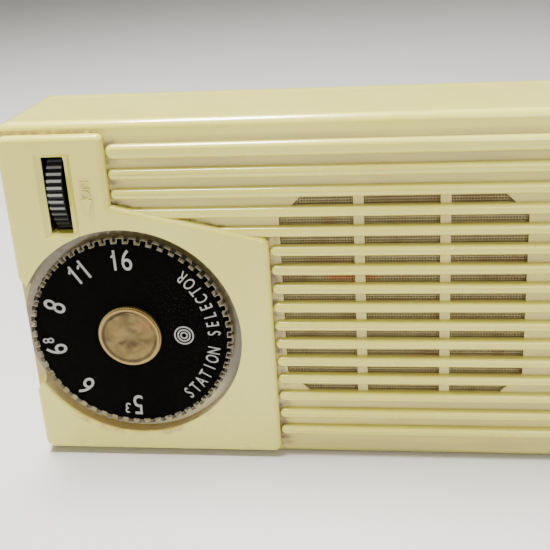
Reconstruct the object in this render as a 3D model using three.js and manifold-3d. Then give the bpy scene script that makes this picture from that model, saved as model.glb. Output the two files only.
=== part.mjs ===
// Pocket transistor radio, lying on its long side. Millimetres, +Z up.
// The front faces -Y. The origin is under the middle of the set, on the surface that it stands on.
// Pieces are placed from the case's left end (x), the raised panel's front face (y) and the base (z).

import * as THREE from 'three';
import { mergeVertices } from 'three/addons/utils/BufferGeometryUtils.js';
import Module from 'manifold-3d';

const wasm = await Module();
wasm.setup();

// Case
const caseLength = 110;
const caseHeight = 67;
const caseDepth = 27;
const wall = 1.8;
const coverWall = 1.5;
const coverDepth = 4.5;
const cornerRadius = 2.5;
const frontEdgeRadius = 1.6;
const rearEdgeRadius = 2;
const tongueThickness = 1;
const tongueLength = 1.8;

// Ribbed front
const grooveDepth = 1.6;
const ribPitch = 3.7;
const ribHeight = 2;
const topRibHeight = 2.8;
const ribBase = 4.64;
const ribTopRoom = 6.5;
const ribSetback = 0.45;
const ribRound = 0.6;
const ribEndMargin = 3;

// Raised panel around the dial
const panelEdge = 0.5;
const panelTopMargin = 2.1;
const panelBottomMargin = 1;
const panelShoulder = 20.05;
const panelShoulderDrop = 15.1;
const panelSlantDrop = 6.7;
const panelWidth = 48;
const panelBevel = 0.5;
const panelCornerRadius = 1.8;

// Grille
const grilleFromEnd = 38.5;
const grilleWidth = 43;
const grilleRows = 11;
const grilleCorner = 5;
const barWidth = 1.85;
const grilleWall = 0.5;
const meshThickness = 0.3;
const meshBorder = 0.7;

// Dial and its shaft
const dialRadius = 19.4;
const dialThickness = 1.3;
const dialSunk = 0.5;
const dialEndInset = 1.4;
const dialBaseInset = 6.8;
const dialNotches = 54;
const notchWidth = 1;
const notchDepth = 1;
const recessClearance = 1.8;
const faceBorder = 0.3;
const faceThickness = 0.4;
const capRadius = 5.7;
const capThickness = 0.8;
const spigotRadius = 2.9;
const spigotLength = 1;
const shaftRadius = 3;
const thumbScoop = { reach: 6.5, half: 13, depth: 4, out: 1.6, below: 1 };

// Volume wheel
const wheelRadius = 9.5;
const wheelWidth = 2.8;
const wheelTeeth = 46;
const wheelToothDepth = 0.55;
const wheelProud = 0.3;
const wheelFromEnd = 10.4;
const wheelTopRoom = 3.5;
const wheelSlotShare = 0.74;
const wheelSlotSide = 0.65;
const fingerHollow = { side: 4, above: 2.2, depth: 1.1 };
const potLength = 5.5;
const bracketFoot = 5;
const axleRadius = 1.6;
const wheelHubDepth = 0.9;
const axleLength = 3;

// Loudspeaker
const speakerRadius = 25;
const speakerFlange = 2.6;
const speakerSetback = 1;
const flangeThickness = 0.8;
const basketDepth = 2.8;
const basketBackRadius = 11;
const basketHole = 6;
const basketWindows = 4;
const basketWindowRadius = 3.6;
const sheetThickness = 0.7;
const clipThickness = 0.6;
const clipHalf = 3.4;
const clipInset = 2;
const coneThickness = 0.25;
const magnetRadius = 8;
const magnetLength = 11;

// Circuit board and what stands on it
const boardThickness = 1.2;
const boardMargin = 0.9;
const boardReach = 47.6;
const boardSpeakerGap = 1.5;
const capacitorOverDial = 0.6;
const capacitorHeight = 10;
const canSize = 8;
const canHeight = 11;
const transistorRadius = 2.8;
const transistorHeight = 8;
const electrolyticRadius = 2.9;
const electrolyticHeight = 10;
const resistorRadius = 1;
const resistorLength = 6;
const rodRadius = 4;
const rodLength = 56;
const rodRoom = 5.2;
const rodStart = 22;
const coilLength = 16;
const coilThickness = 0.6;
const postRadius = 2.5;
const clipPostRadius = 2.1;
const screwHeadRadius = 2;
const screwShankRadius = 1;

// Battery
const batteryWidth = 26.5;
const batteryDepth = 17.5;
const batteryHeight = 46;
const batteryBase = 7;
const terminalSpacing = 12.7;
const terminalHeight = 2.2;

// Earphone socket
const jackY = 14;
const jackAboveMiddle = 6.7;
const jackRadius = 2.9;
const jackBoreRadius = 1.75;
const jackEndWall = 1.2;

// Cover screw
const coverPostRadius = 3.2;
const coverPostFromDial = 17.5;
const coverPostBack = 19;
const coinHeadRadius = 4.5;
const coinHeadThickness = 1.4;
const coinSlotWidth = 1.1;
const coinSlotDepth = 0.8;
const coverShankRadius = 1.2;
const insertLength = 5.7;

// Gap between pieces that touch or turn beside each other
const gap = 0.3;
const cutOver = 1;

// Places worked out from the sizes above
const middleZ = caseHeight / 2;
const dialX = dialRadius + dialEndInset;
const dialZ = dialRadius + dialBaseInset;
const dialBack = dialSunk + dialThickness;
const faceRadius = dialRadius - faceBorder;
const faceFront = dialBack + gap;
const recessFloor = faceFront + faceThickness + gap + 0.1;
const recessRadius = dialRadius + recessClearance;
const recessBack = recessFloor + wall;
const frontInner = grooveDepth + wall;
const parting = caseDepth - coverDepth;
const coverInner = caseDepth - coverWall;
const boardFront = recessBack + 0.7;
const boardBack = boardFront + boardThickness;
const seat = boardBack + gap;
const wheelX = wheelFromEnd;
const wheelY = wheelRadius - wheelProud;
const wheelZ = caseHeight - wheelTopRoom - wheelRadius;
const wheelSlotHalf = wheelSlotShare * wheelRadius;
const potRadius = wheelY - frontInner - gap;
const potLeft = wheelX + wheelWidth / 2 + 2 * gap;
const potRight = potLeft + potLength;
const ribCount = Math.floor((caseHeight - ribTopRoom - ribBase) / ribPitch) + 1;
const grilleGap = Math.round((ribCount - 2) / 2);
const grilleX = caseLength - grilleFromEnd;
const grilleZ = ribBase + grilleGap * ribPitch + (ribHeight + ribPitch) / 2;
const grilleHalfHeight = (grilleRows * ribPitch) / 2;
const pocketFloor = grooveDepth + grilleWall;
const meshFront = pocketFloor + gap;
const flangeFront = frontInner + speakerSetback;
const basketBack = flangeFront + basketDepth;
const coverPostX = dialX + coverPostFromDial;
const rodY = seat + 8;
const rodZ = caseHeight - wall - rodRoom;
const jackZ = middleZ + jackAboveMiddle;
const capBack = dialSunk - gap;
const capProud = capThickness - capBack;

// Closed geometry to a solid that can be joined and cut; faces are turned outwards first.
function solidOf(geometry) {
  const bare = geometry.index ? geometry.toNonIndexed() : geometry.clone();
  bare.deleteAttribute('normal');
  bare.deleteAttribute('uv');
  const merged = mergeVertices(bare, 1e-4);
  const vertices = Float32Array.from(merged.attributes.position.array);
  const triangles = [];
  const corners = [new THREE.Vector3(), new THREE.Vector3(), new THREE.Vector3()];
  let volume = 0;
  for (let i = 0; i < merged.index.count; i += 3) {
    const triangle = [0, 1, 2].map((k) => merged.index.getX(i + k));
    if (new Set(triangle).size < 3) continue;
    triangles.push(triangle);
    triangle.forEach((vertex, k) => corners[k].fromArray(vertices, 3 * vertex));
    volume += corners[0].dot(corners[1].clone().cross(corners[2]));
  }
  if (volume < 0) triangles.forEach((triangle) => triangle.reverse());
  const triVerts = Uint32Array.from(triangles.flat());
  return new wasm.Manifold(new wasm.Mesh({ numProp: 3, vertProperties: vertices, triVerts }));
}

function geometryOf(solid) {
  const mesh = solid.getMesh();
  const geometry = new THREE.BufferGeometry();
  geometry.setAttribute('position', new THREE.BufferAttribute(mesh.vertProperties, 3));
  geometry.setIndex(new THREE.BufferAttribute(mesh.triVerts, 1));
  const flat = geometry.toNonIndexed();
  flat.computeVertexNormals();
  return flat;
}

function join(solids) {
  return solids.reduce((whole, solid) => whole.add(solid));
}

// A block between two opposite corners.
function block(x0, x1, y0, y1, z0, z1) {
  const geometry = new THREE.BoxGeometry(x1 - x0, y1 - y0, z1 - z0);
  geometry.translate((x0 + x1) / 2, (y0 + y1) / 2, (z0 + z1) / 2);
  return solidOf(geometry);
}

// A round bar along Y.
function barY(radius, x, z, y0, y1, segments = 24) {
  const geometry = new THREE.CylinderGeometry(radius, radius, y1 - y0, segments);
  geometry.translate(x, (y0 + y1) / 2, z);
  return solidOf(geometry);
}

// A round bar along X.
function barX(radius, y, z, x0, x1, segments = 24) {
  const geometry = new THREE.CylinderGeometry(radius, radius, x1 - x0, segments);
  geometry.rotateZ(Math.PI / 2);
  geometry.translate((x0 + x1) / 2, y, z);
  return solidOf(geometry);
}

// A round bar along Z.
function barZ(radius, x, y, z0, z1, segments = 20) {
  const geometry = new THREE.CylinderGeometry(radius, radius, z1 - z0, segments);
  geometry.rotateX(Math.PI / 2);
  geometry.translate(x, y, (z0 + z1) / 2);
  return solidOf(geometry);
}

// A front-view outline given depth from y0 to y1, with an optional bevel at both ends.
function plate(shape, y0, y1, bevel = 0, bevelSegments = 1, curveSegments = 5) {
  const geometry = new THREE.ExtrudeGeometry(shape, {
    depth: y1 - y0 - 2 * bevel,
    bevelEnabled: bevel > 0,
    bevelThickness: bevel,
    bevelSize: bevel,
    bevelOffset: -bevel,
    bevelSegments,
    curveSegments,
  });
  geometry.rotateX(Math.PI / 2);
  geometry.translate(0, y1 - bevel, 0);
  return solidOf(geometry);
}

// A profile of [radius, y] points turned about an axis along Y.
function turned(profile, x, z, segments = 32) {
  const points = profile.map(([radius, y]) => new THREE.Vector2(radius, y));
  const geometry = new THREE.LatheGeometry(points, segments);
  geometry.translate(x, 0, z);
  return solidOf(geometry);
}

function ellipsoid(x, y, z, halfX, halfY, halfZ) {
  const geometry = new THREE.SphereGeometry(1, 20, 12);
  geometry.scale(halfX, halfY, halfZ);
  geometry.translate(x, y, z);
  return solidOf(geometry);
}

function polygon(points) {
  return new THREE.Shape(points.map(([x, z]) => new THREE.Vector2(x, z)));
}

function roundedRectangle(x0, x1, z0, z1, radius) {
  const shape = new THREE.Shape();
  shape.moveTo(x0 + radius, z0);
  shape.lineTo(x1 - radius, z0);
  shape.absarc(x1 - radius, z0 + radius, radius, -Math.PI / 2, 0);
  shape.lineTo(x1, z1 - radius);
  shape.absarc(x1 - radius, z1 - radius, radius, 0, Math.PI / 2);
  shape.lineTo(x0 + radius, z1);
  shape.absarc(x0 + radius, z1 - radius, radius, Math.PI / 2, Math.PI);
  shape.lineTo(x0, z0 + radius);
  shape.absarc(x0 + radius, z0 + radius, radius, Math.PI, 1.5 * Math.PI);
  return shape;
}

// A toothed outline about the origin. Each tooth is a list of [share of the pitch, radius] corners.
function toothedOutline(teeth, corners) {
  const points = [];
  const pitch = (2 * Math.PI) / teeth;
  for (let i = 0; i < teeth; i += 1) {
    for (const [share, radius] of corners) {
      const angle = (i + share) * pitch;
      points.push(new THREE.Vector2(radius * Math.cos(angle), radius * Math.sin(angle)));
    }
  }
  return new THREE.Shape(points);
}

// Assembly, and the finishes of its pieces
const radio = new THREE.Group();
radio.name = 'pocket_radio';
const assembly = new THREE.Group();
assembly.position.set(-caseLength / 2, (capProud - caseDepth) / 2, 0);
radio.add(assembly);

const finishes = {
  cream: [0xe9e2ae, 0.25, 0],
  clear: [0xe6e4d8, 0.1, 0],
  black: [0x0c0c0d, 0.35, 0],
  brass: [0xb99848, 0.3, 0.9],
  steel: [0xa9abad, 0.35, 0.9],
  magnet: [0x6d6a66, 0.5, 0.6],
  paper: [0x2c2824, 0.9, 0],
  mesh: [0x4a3c28, 0.6, 0.3],
  board: [0x9a6b34, 0.55, 0],
  can: [0xb9bcc0, 0.3, 0.9],
  laminated: [0x55504a, 0.6, 0.5],
  ferrite: [0x33312f, 0.7, 0],
  copper: [0xa45a2c, 0.45, 0.6],
  white: [0xdedacb, 0.5, 0],
  battery: [0x7d1d1a, 0.45, 0.1],
  resistor: [0x8a5a36, 0.6, 0],
  blue: [0x2d4f7c, 0.45, 0.1],
};

function add(name, solid, finish) {
  const [color, roughness, metalness] = finishes[finish];
  const material = new THREE.MeshStandardMaterial({ color, roughness, metalness });
  const mesh = new THREE.Mesh(geometryOf(solid), material);
  mesh.name = name;
  assembly.add(mesh);
}

// Front half of the case: box with a grooved face, ribs, the raised dial panel and the openings
function panelOutline() {
  const top = caseHeight - panelTopMargin;
  const shoulderZ = caseHeight - panelShoulderDrop;
  const bottom = panelBottomMargin;
  const round = panelCornerRadius;
  const shape = new THREE.Shape();
  shape.moveTo(panelEdge + round, bottom);
  shape.lineTo(panelWidth, bottom);
  shape.lineTo(panelWidth, shoulderZ - panelSlantDrop);
  shape.lineTo(panelShoulder, shoulderZ);
  shape.lineTo(panelShoulder, top);
  shape.lineTo(panelEdge + round, top);
  shape.absarc(panelEdge + round, top - round, round, Math.PI / 2, Math.PI);
  shape.lineTo(panelEdge, bottom + round);
  shape.absarc(panelEdge + round, bottom + round, round, Math.PI, 1.5 * Math.PI);
  return shape;
}

// Where the panel's right edge lies at a height.
function panelRight(z) {
  const shoulderZ = caseHeight - panelShoulderDrop;
  if (z >= shoulderZ) return panelShoulder;
  const share = Math.min((shoulderZ - z) / panelSlantDrop, 1);
  return panelShoulder + share * (panelWidth - panelShoulder);
}

function rib(index) {
  const height = index === ribCount - 1 ? topRibHeight : ribHeight;
  const bottom = ribBase + index * ribPitch;
  const section = new THREE.Shape();
  section.moveTo(0, frontInner - wall / 2);
  section.lineTo(0, ribSetback + ribRound);
  section.lineTo(ribRound * 0.3, ribSetback + ribRound * 0.3);
  section.lineTo(ribRound, ribSetback);
  section.lineTo(height - ribRound, ribSetback);
  section.lineTo(height - ribRound * 0.3, ribSetback + ribRound * 0.3);
  section.lineTo(height, ribSetback + ribRound);
  section.lineTo(height, frontInner - wall / 2);
  section.closePath();
  const start = panelRight(bottom + height) - 2 * panelBevel;
  const length = caseLength - ribEndMargin - start;
  const geometry = new THREE.ExtrudeGeometry(section, { depth: length, bevelEnabled: false });
  const placed = new THREE.Matrix4().set(
    0, 0, 1, start,
    0, 1, 0, 0,
    1, 0, 0, bottom,
    0, 0, 0, 1,
  );
  geometry.applyMatrix4(placed);
  return solidOf(geometry);
}

function chamferedWindow(border) {
  const halfX = grilleWidth / 2 + border;
  const halfZ = grilleHalfHeight + border;
  const cut = grilleCorner;
  return polygon([
    [grilleX - halfX + cut, grilleZ - halfZ],
    [grilleX + halfX - cut, grilleZ - halfZ],
    [grilleX + halfX, grilleZ - halfZ + cut],
    [grilleX + halfX, grilleZ + halfZ - cut],
    [grilleX + halfX - cut, grilleZ + halfZ],
    [grilleX - halfX + cut, grilleZ + halfZ],
    [grilleX - halfX, grilleZ + halfZ - cut],
    [grilleX - halfX, grilleZ - halfZ + cut],
  ]);
}

function grilleOpenings() {
  const column = (grilleWidth - 2 * barWidth) / 3;
  const slots = [];
  for (let row = 0; row < grilleRows; row += 1) {
    const index = grilleGap + row - (grilleRows - 1) / 2;
    const bottom = ribBase + index * ribPitch + ribHeight;
    for (let place = 0; place < 3; place += 1) {
      const left = grilleX - grilleWidth / 2 + place * (column + barWidth);
      const top = bottom + ribPitch - ribHeight;
      slots.push(block(left, left + column, grooveDepth - cutOver, frontInner + cutOver, bottom, top));
    }
  }
  return join(slots).intersect(plate(chamferedWindow(0), 0, frontInner + 2 * cutOver));
}

// Pieces along the board's left edge stand in one column, those along its foot in one row.
const leftColumn = wall + 4.5;
const bottomPostZ = wall + 5;
const boardPosts = [
  [leftColumn, bottomPostZ],
  [leftColumn + 44, caseHeight - 6.6],
  [leftColumn + 37.1, bottomPostZ],
];
const clipReach = speakerRadius + 3.6;
const clipPostBack = flangeFront + flangeThickness;
const clipPosts = [
  [grilleX + clipReach * Math.SQRT1_2, grilleZ + clipReach * Math.SQRT1_2],
  [grilleX + clipReach * Math.SQRT1_2, grilleZ - clipReach * Math.SQRT1_2],
];

function frontShell() {
  const slotLeft = wheelX - wheelWidth / 2 - wheelSlotSide;
  const slotRight = wheelX + wheelWidth / 2 + wheelSlotSide;
  const outline = roundedRectangle(0, caseLength, 0, caseHeight, cornerRadius);
  const inside = roundedRectangle(wall, caseLength - wall, wall, caseHeight - wall, cornerRadius - wall / 2);
  const body = plate(outline, grooveDepth, 2 * caseDepth, frontEdgeRadius, 3)
    .subtract(block(-cutOver, caseLength + cutOver, parting, 3 * caseDepth, -cutOver, caseHeight + cutOver))
    .subtract(plate(inside, frontInner, parting + cutOver));
  const caseSpace = plate(outline, 0, parting);
  const raised = plate(panelOutline(), 0, frontInner - gap, panelBevel);
  const ribs = Array.from({ length: ribCount }, (_, index) => rib(index));
  const boss = barY(recessRadius + wall, dialX, dialZ, grooveDepth, recessBack, 48)
    .intersect(caseSpace)
    .subtract(barX(potRadius + gap, wheelY, wheelZ, potLeft - gap, potRight + gap));
  const pocket = plate(chamferedWindow(meshBorder + gap), pocketFloor, frontInner + gap);
  const posts = [
    barY(coverPostRadius, coverPostX, middleZ, frontInner - gap, coverPostBack),
    ...boardPosts.map(([x, z]) => barY(postRadius, x, z, frontInner - gap, boardFront - gap)),
    ...clipPosts.map(([x, z]) => barY(clipPostRadius, x, z, pocketFloor - gap, clipPostBack)),
  ];
  const holes = [
    barY(recessRadius, dialX, dialZ, -cutOver, recessFloor, 60),
    barY(shaftRadius + 1, dialX, dialZ, 0, recessBack + cutOver),
    ellipsoid(
      -thumbScoop.out, thumbScoop.below, dialZ, thumbScoop.reach, thumbScoop.depth, thumbScoop.half,
    ).intersect(block(-2 * thumbScoop.reach, caseLength, -caseDepth, recessFloor, 0, caseHeight)),
    ellipsoid(
      wheelX, 0, wheelZ,
      wheelWidth / 2 + fingerHollow.side, fingerHollow.depth, wheelSlotHalf + fingerHollow.above,
    ),
    block(
      slotLeft, slotRight, -cutOver, frontInner + cutOver,
      wheelZ - wheelSlotHalf, wheelZ + wheelSlotHalf,
    ),
    barX(wheelRadius + gap, wheelY, wheelZ, slotLeft, slotRight, 32),
    grilleOpenings(),
    barY(coverShankRadius + 1.1, coverPostX, middleZ, coverPostBack - insertLength - 2 * gap, caseDepth),
    ...boardPosts.map(([x, z]) => barY(screwShankRadius + gap, x, z, frontInner - 0.8, boardFront, 16)),
    ...clipPosts.map(([x, z]) => barY(screwShankRadius + gap, x, z, frontInner - 0.8, caseDepth, 16)),
    barX(jackRadius + gap, jackY, jackZ, -cutOver, wall + cutOver),
  ];
  const plastic = join([body, raised, ...ribs, boss]).subtract(pocket);
  return join([plastic, ...posts]).subtract(join(holes));
}
add('front_shell', frontShell(), 'cream');

// Rear half of the case: shallow lid with a rounded back edge and a tongue that locates it
function backCover() {
  const outline = roundedRectangle(0, caseLength, 0, caseHeight, cornerRadius);
  const reach = wall + gap;
  const tongue = roundedRectangle(reach, caseLength - reach, reach, caseHeight - reach, cornerRadius - gap);
  const inner = reach + tongueThickness;
  const hollow = roundedRectangle(inner, caseLength - inner, inner, caseHeight - inner, cornerRadius / 2);
  const rear = parting + gap;
  const headSpace = caseDepth - coinHeadThickness - 0.1 - gap;
  return plate(outline, -caseDepth, caseDepth, rearEdgeRadius, 3)
    .subtract(block(-cutOver, caseLength + cutOver, -2 * caseDepth, rear, -cutOver, caseHeight + cutOver))
    .add(plate(tongue, rear - tongueLength, rear + gap))
    .subtract(plate(hollow, rear - tongueLength - cutOver, coverInner))
    .add(barY(coinHeadRadius + 1.9, coverPostX, middleZ, coverInner - 2.3, coverInner + gap, 32))
    .subtract(barY(coinHeadRadius + gap, coverPostX, middleZ, headSpace, caseDepth + cutOver, 32))
    .subtract(barY(coverShankRadius + 0.5, coverPostX, middleZ, parting, caseDepth + cutOver));
}
add('back_cover', backCover(), 'cream');

// Coin screw of the cover, and the threaded brass insert that takes it
function coverScrew() {
  const headBack = caseDepth - 0.1;
  const headFront = headBack - coinHeadThickness;
  const slot = block(
    coverPostX - coinSlotWidth / 2, coverPostX + coinSlotWidth / 2,
    headBack - coinSlotDepth, headBack + cutOver,
    middleZ - 2 * coinHeadRadius, middleZ + 2 * coinHeadRadius,
  );
  const profile = [
    [0, coverPostBack - insertLength + 0.4],
    [coverShankRadius - 0.4, coverPostBack - insertLength + 0.4],
    [coverShankRadius, coverPostBack - insertLength + 1],
    [coverShankRadius, headFront],
    [coinHeadRadius, headFront],
    [coinHeadRadius, headBack - 0.3],
    [coinHeadRadius - 0.3, headBack],
    [0, headBack],
  ];
  return turned(profile, coverPostX, middleZ).subtract(slot);
}
add('cover_screw', coverScrew(), 'brass');

const insertBack = coverPostBack - gap;
const insertWall = 0.5;
add('screw_insert', turned([
  [coverShankRadius + gap, insertBack - insertLength],
  [coverShankRadius + gap + insertWall, insertBack - insertLength],
  [coverShankRadius + gap + insertWall, insertBack],
  [coverShankRadius + gap, insertBack],
  [coverShankRadius + gap, insertBack - insertLength],
], coverPostX, middleZ, 24), 'brass');

// Tuning dial: clear notched disc, its printed face, the brass cap and the shaft
function tuningDial() {
  const pitch = (2 * Math.PI * dialRadius) / dialNotches;
  const toothShare = 1 - notchWidth / pitch;
  const outline = toothedOutline(dialNotches, [
    [0, dialRadius],
    [toothShare, dialRadius],
    [toothShare, dialRadius - notchDepth],
    [1, dialRadius - notchDepth],
  ]);
  return plate(outline, 0, dialThickness)
    .translate([dialX, dialSunk, dialZ])
    .subtract(barY(shaftRadius + gap, dialX, dialZ, dialSunk - cutOver, dialBack + cutOver));
}
add('tuning_dial', tuningDial(), 'clear');

add('dial_face', turned([
  [shaftRadius + gap, faceFront],
  [faceRadius, faceFront],
  [faceRadius, faceFront + faceThickness],
  [shaftRadius + gap, faceFront + faceThickness],
  [shaftRadius + gap, faceFront],
], dialX, dialZ, 40), 'black');

add('dial_cap', turned([
  [0, capBack - capThickness],
  [capRadius - 0.5, capBack - capThickness],
  [capRadius, capBack - capThickness + 0.4],
  [capRadius, capBack],
  [spigotRadius, capBack],
  [spigotRadius, capBack + spigotLength],
  [0, capBack + spigotLength],
], dialX, dialZ, 32), 'brass');

const shaftFront = capBack + spigotLength + gap;
add('tuning_shaft', barY(shaftRadius, dialX, dialZ, shaftFront, boardBack), 'brass');

// Volume wheel with its axle, the control it turns, the bracket that holds it and the wheel's screw
function volumeWheel() {
  const outline = toothedOutline(wheelTeeth, [[0, wheelRadius], [0.5, wheelRadius - wheelToothDepth]]);
  const geometry = new THREE.ExtrudeGeometry(outline, { depth: wheelWidth, bevelEnabled: false });
  geometry.rotateY(Math.PI / 2);
  geometry.translate(wheelX - wheelWidth / 2, wheelY, wheelZ);
  const right = wheelX + wheelWidth / 2;
  const left = wheelX - wheelWidth / 2;
  return solidOf(geometry)
    .add(barX(axleRadius, wheelY, wheelZ, right - gap, potLeft + axleLength))
    .subtract(barX(axleRadius + 1, wheelY, wheelZ, left - cutOver, left + wheelHubDepth));
}
add('volume_wheel', volumeWheel(), 'black');

const wheelFace = wheelX - wheelWidth / 2 + wheelHubDepth;
const wheelScrewSlot = block(
  wheelFace - 2, wheelFace - 0.6, wheelY - 3, wheelY + 3, wheelZ - 0.25, wheelZ + 0.25,
);
add('wheel_screw', barX(axleRadius + 0.6, wheelY, wheelZ, wheelFace - wheelHubDepth, wheelFace - gap)
  .subtract(wheelScrewSlot), 'brass');

function volumePot() {
  return barX(potRadius, wheelY, wheelZ, potLeft, potRight)
    .subtract(barX(axleRadius + gap, wheelY, wheelZ, potLeft - cutOver, potLeft + axleLength + gap));
}
add('volume_pot', volumePot(), 'steel');

function potBracket() {
  const left = potRight + gap;
  const sheet = 0.8;
  return block(left, left + sheet, seat, wheelY + potRadius, wheelZ - 4.5, wheelZ + 4)
    .add(block(left, left + bracketFoot, seat, seat + sheet, wheelZ - 4.5, wheelZ + 4));
}
add('pot_bracket', potBracket(), 'steel');

// Grille mesh and loudspeaker
const meshBites = clipPosts.map(([x, z]) => barY(clipPostRadius + gap, x, z, 0, caseDepth, 16));
const meshSheet = plate(chamferedWindow(meshBorder), meshFront, meshFront + meshThickness);
add('grille_mesh', meshSheet.subtract(join(meshBites)), 'mesh');

const flangeInner = speakerRadius - speakerFlange;
function speakerFrame() {
  const frame = turned([
    [speakerRadius, flangeFront],
    [speakerRadius, flangeFront + flangeThickness],
    [flangeInner + sheetThickness, flangeFront + flangeThickness],
    [basketBackRadius, basketBack],
    [basketHole, basketBack],
    [basketHole, basketBack - sheetThickness],
    [basketBackRadius, basketBack - sheetThickness],
    [flangeInner, flangeFront + flangeThickness / 2],
    [flangeInner, flangeFront],
    [speakerRadius, flangeFront],
  ], grilleX, grilleZ, 36);
  const windows = [];
  for (let i = 0; i < basketWindows; i += 1) {
    const angle = (i + 0.5) * ((2 * Math.PI) / basketWindows);
    const reach = (flangeInner + basketBackRadius) / 2;
    const x = grilleX + reach * Math.cos(angle);
    const z = grilleZ + reach * Math.sin(angle);
    windows.push(barY(basketWindowRadius, x, z, flangeFront - cutOver, basketBack + cutOver, 12));
  }
  return frame.subtract(join(windows));
}
add('speaker_frame', speakerFrame(), 'steel');

function speakerCone() {
  const outer = [flangeInner - 0.8, flangeFront - 0.1];
  const inner = [basketHole, basketBack - sheetThickness - gap - coneThickness];
  return turned([
    outer,
    [outer[0], outer[1] + coneThickness],
    [inner[0], inner[1] + coneThickness],
    inner,
    outer,
  ], grilleX, grilleZ, 32);
}
add('speaker_cone', speakerCone(), 'paper');

const domeFront = basketBack - sheetThickness - 1.6;
add('dust_cap', turned([
  [0, domeFront],
  [2.6, domeFront + 0.25],
  [4.6, domeFront + 0.9],
  [basketHole - gap, domeFront + 1.6],
  [0, domeFront + 1.6],
], grilleX, grilleZ, 28), 'paper');

const magnetFront = basketBack + gap;
add('speaker_magnet', turned([
  [0, magnetFront],
  [magnetRadius, magnetFront],
  [magnetRadius, magnetFront + 2],
  [magnetRadius - 0.6, magnetFront + 2],
  [magnetRadius - 0.6, magnetFront + magnetLength - 0.6],
  [magnetRadius - 1.2, magnetFront + magnetLength],
  [0, magnetFront + magnetLength],
], grilleX, grilleZ, 32), 'magnet');

const clipFront = flangeFront + flangeThickness + gap;
function panScrew(x, z, headFront, tip) {
  return turned([
    [0, tip],
    [screwShankRadius, tip],
    [screwShankRadius, headFront],
    [screwHeadRadius, headFront],
    [screwHeadRadius - 0.3, headFront + 0.7],
    [0, headFront + 0.7],
  ], x, z, 16);
}
clipPosts.forEach(([x, z], i) => {
  const clipX = x - clipInset;
  const clipZ = z - Math.sign(z - grilleZ) * clipInset;
  const clip = block(
    clipX - clipHalf, clipX + clipHalf, clipFront, clipFront + clipThickness,
    clipZ - clipHalf, clipZ + clipHalf,
  );
  const clipHole = barY(screwShankRadius + gap, x, z, 0, caseDepth, 16);
  add(`speaker_clip_${i + 1}`, clip.subtract(clipHole), 'steel');
  add(`clip_screw_${i + 1}`, panScrew(x, z, clipFront + clipThickness + gap, frontInner - 0.4), 'steel');
});

// Circuit board: left of the speaker, cut round it, with a notch for the volume wheel
const boardRight = leftColumn + boardReach;
function circuitBoard() {
  const margin = wall + boardMargin;
  const board = block(margin, boardRight, boardFront, boardBack, margin, caseHeight - margin);
  const holes = [
    barY(speakerRadius + boardSpeakerGap, grilleX, grilleZ, 0, caseDepth, 48),
    block(
      wheelX - wheelWidth / 2 - 1, potRight + gap, 0, caseDepth,
      wheelZ - wheelRadius - 1, caseHeight,
    ),
    barY(shaftRadius + 1, dialX, dialZ, 0, caseDepth),
    barY(coverPostRadius + 0.6, coverPostX, middleZ, 0, caseDepth),
    ...boardPosts.map(([x, z]) => barY(screwShankRadius + gap, x, z, 0, caseDepth, 16)),
  ];
  return board.subtract(join(holes));
}
add('circuit_board', circuitBoard(), 'board');
boardPosts.forEach(([x, z], i) => {
  add(`board_screw_${i + 1}`, panScrew(x, z, seat, frontInner - 0.4), 'steel');
});

// Tuning capacitor
const halfCapacitor = (dialRadius + capacitorOverDial) / 2;
add('tuning_capacitor', block(
  dialX - halfCapacitor, dialX + halfCapacitor, seat, seat + capacitorHeight,
  dialZ - halfCapacitor, dialZ + halfCapacitor,
), 'white');

// Shielded coils
const coilX = potRight + bracketFoot + 1.25 + canSize / 2;
const cans = [
  ['oscillator_coil', coilX, middleZ + 13.6],
  ['if_transformer_1', coilX + 9.3, middleZ + 13.6],
  ['if_transformer_2', dialX + 17, dialZ - 4.6],
  ['if_transformer_3', leftColumn + 30.7, dialZ - 15],
];
function can(x, z) {
  const half = canSize / 2;
  return block(x - half, x + half, seat, seat + canHeight, z - half, z + half)
    .subtract(barY(1.5, x, z, seat + canHeight - 1.2, seat + canHeight + cutOver, 16));
}
cans.forEach(([name, x, z]) => add(name, can(x, z), 'can'));

// Transformers: a wound bobbin between the legs of a laminated core, as one block each
const transformers = [
  ['driver_transformer', leftColumn + 10.5, 12, 10],
  ['output_transformer', leftColumn + 44.5, 9, 9],
];
function transformer(x, width, depth) {
  const z0 = wall + 2.2;
  const half = width / 2;
  return block(x - half, x + half, seat, seat + 8, z0 + 1.4, z0 + depth - 1.4)
    .add(block(x - half + 1.5, x + half - 1.5, seat, seat + 9.5, z0, z0 + depth));
}
transformers.forEach(([name, x, width, depth]) => add(name, transformer(x, width, depth), 'laminated'));

// Transistors, electrolytic capacitors and resistors
const transistors = [
  [leftColumn, bottomPostZ + 9.4],
  [leftColumn, bottomPostZ + 16.9],
  [leftColumn, bottomPostZ + 24.4],
  [dialX - 5, dialZ + 13.8],
  [dialX + 3, dialZ + 13.8],
  [dialX + 11, dialZ + 13.8],
];
transistors.forEach(([x, z], i) => {
  const top = seat + transistorHeight;
  add(`transistor_${i + 1}`, turned([
    [0, seat],
    [transistorRadius, seat],
    [transistorRadius, top - 0.6],
    [transistorRadius - 0.6, top],
    [0, top],
  ], x, z, 14), 'can');
});
const electrolytics = [
  [dialX + 20.5, middleZ + 6],
  [coilX + 17, middleZ + 14.1],
  [leftColumn + 22.5, bottomPostZ + 1.4],
];
electrolytics.forEach(([x, z], i) => {
  const top = seat + electrolyticHeight;
  add(`electrolytic_${i + 1}`, barY(electrolyticRadius, x, z, seat, top, 16), 'blue');
});
const resistors = [
  { x: leftColumn, z: bottomPostZ + 4.4, upright: false },
  { x: dialX + 11.6, z: dialZ + 2.2, upright: true },
  { x: dialX + 24.5, z: middleZ - 11.9, upright: true },
  { x: leftColumn + 37.2, z: bottomPostZ + 6.8, upright: true },
];
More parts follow.
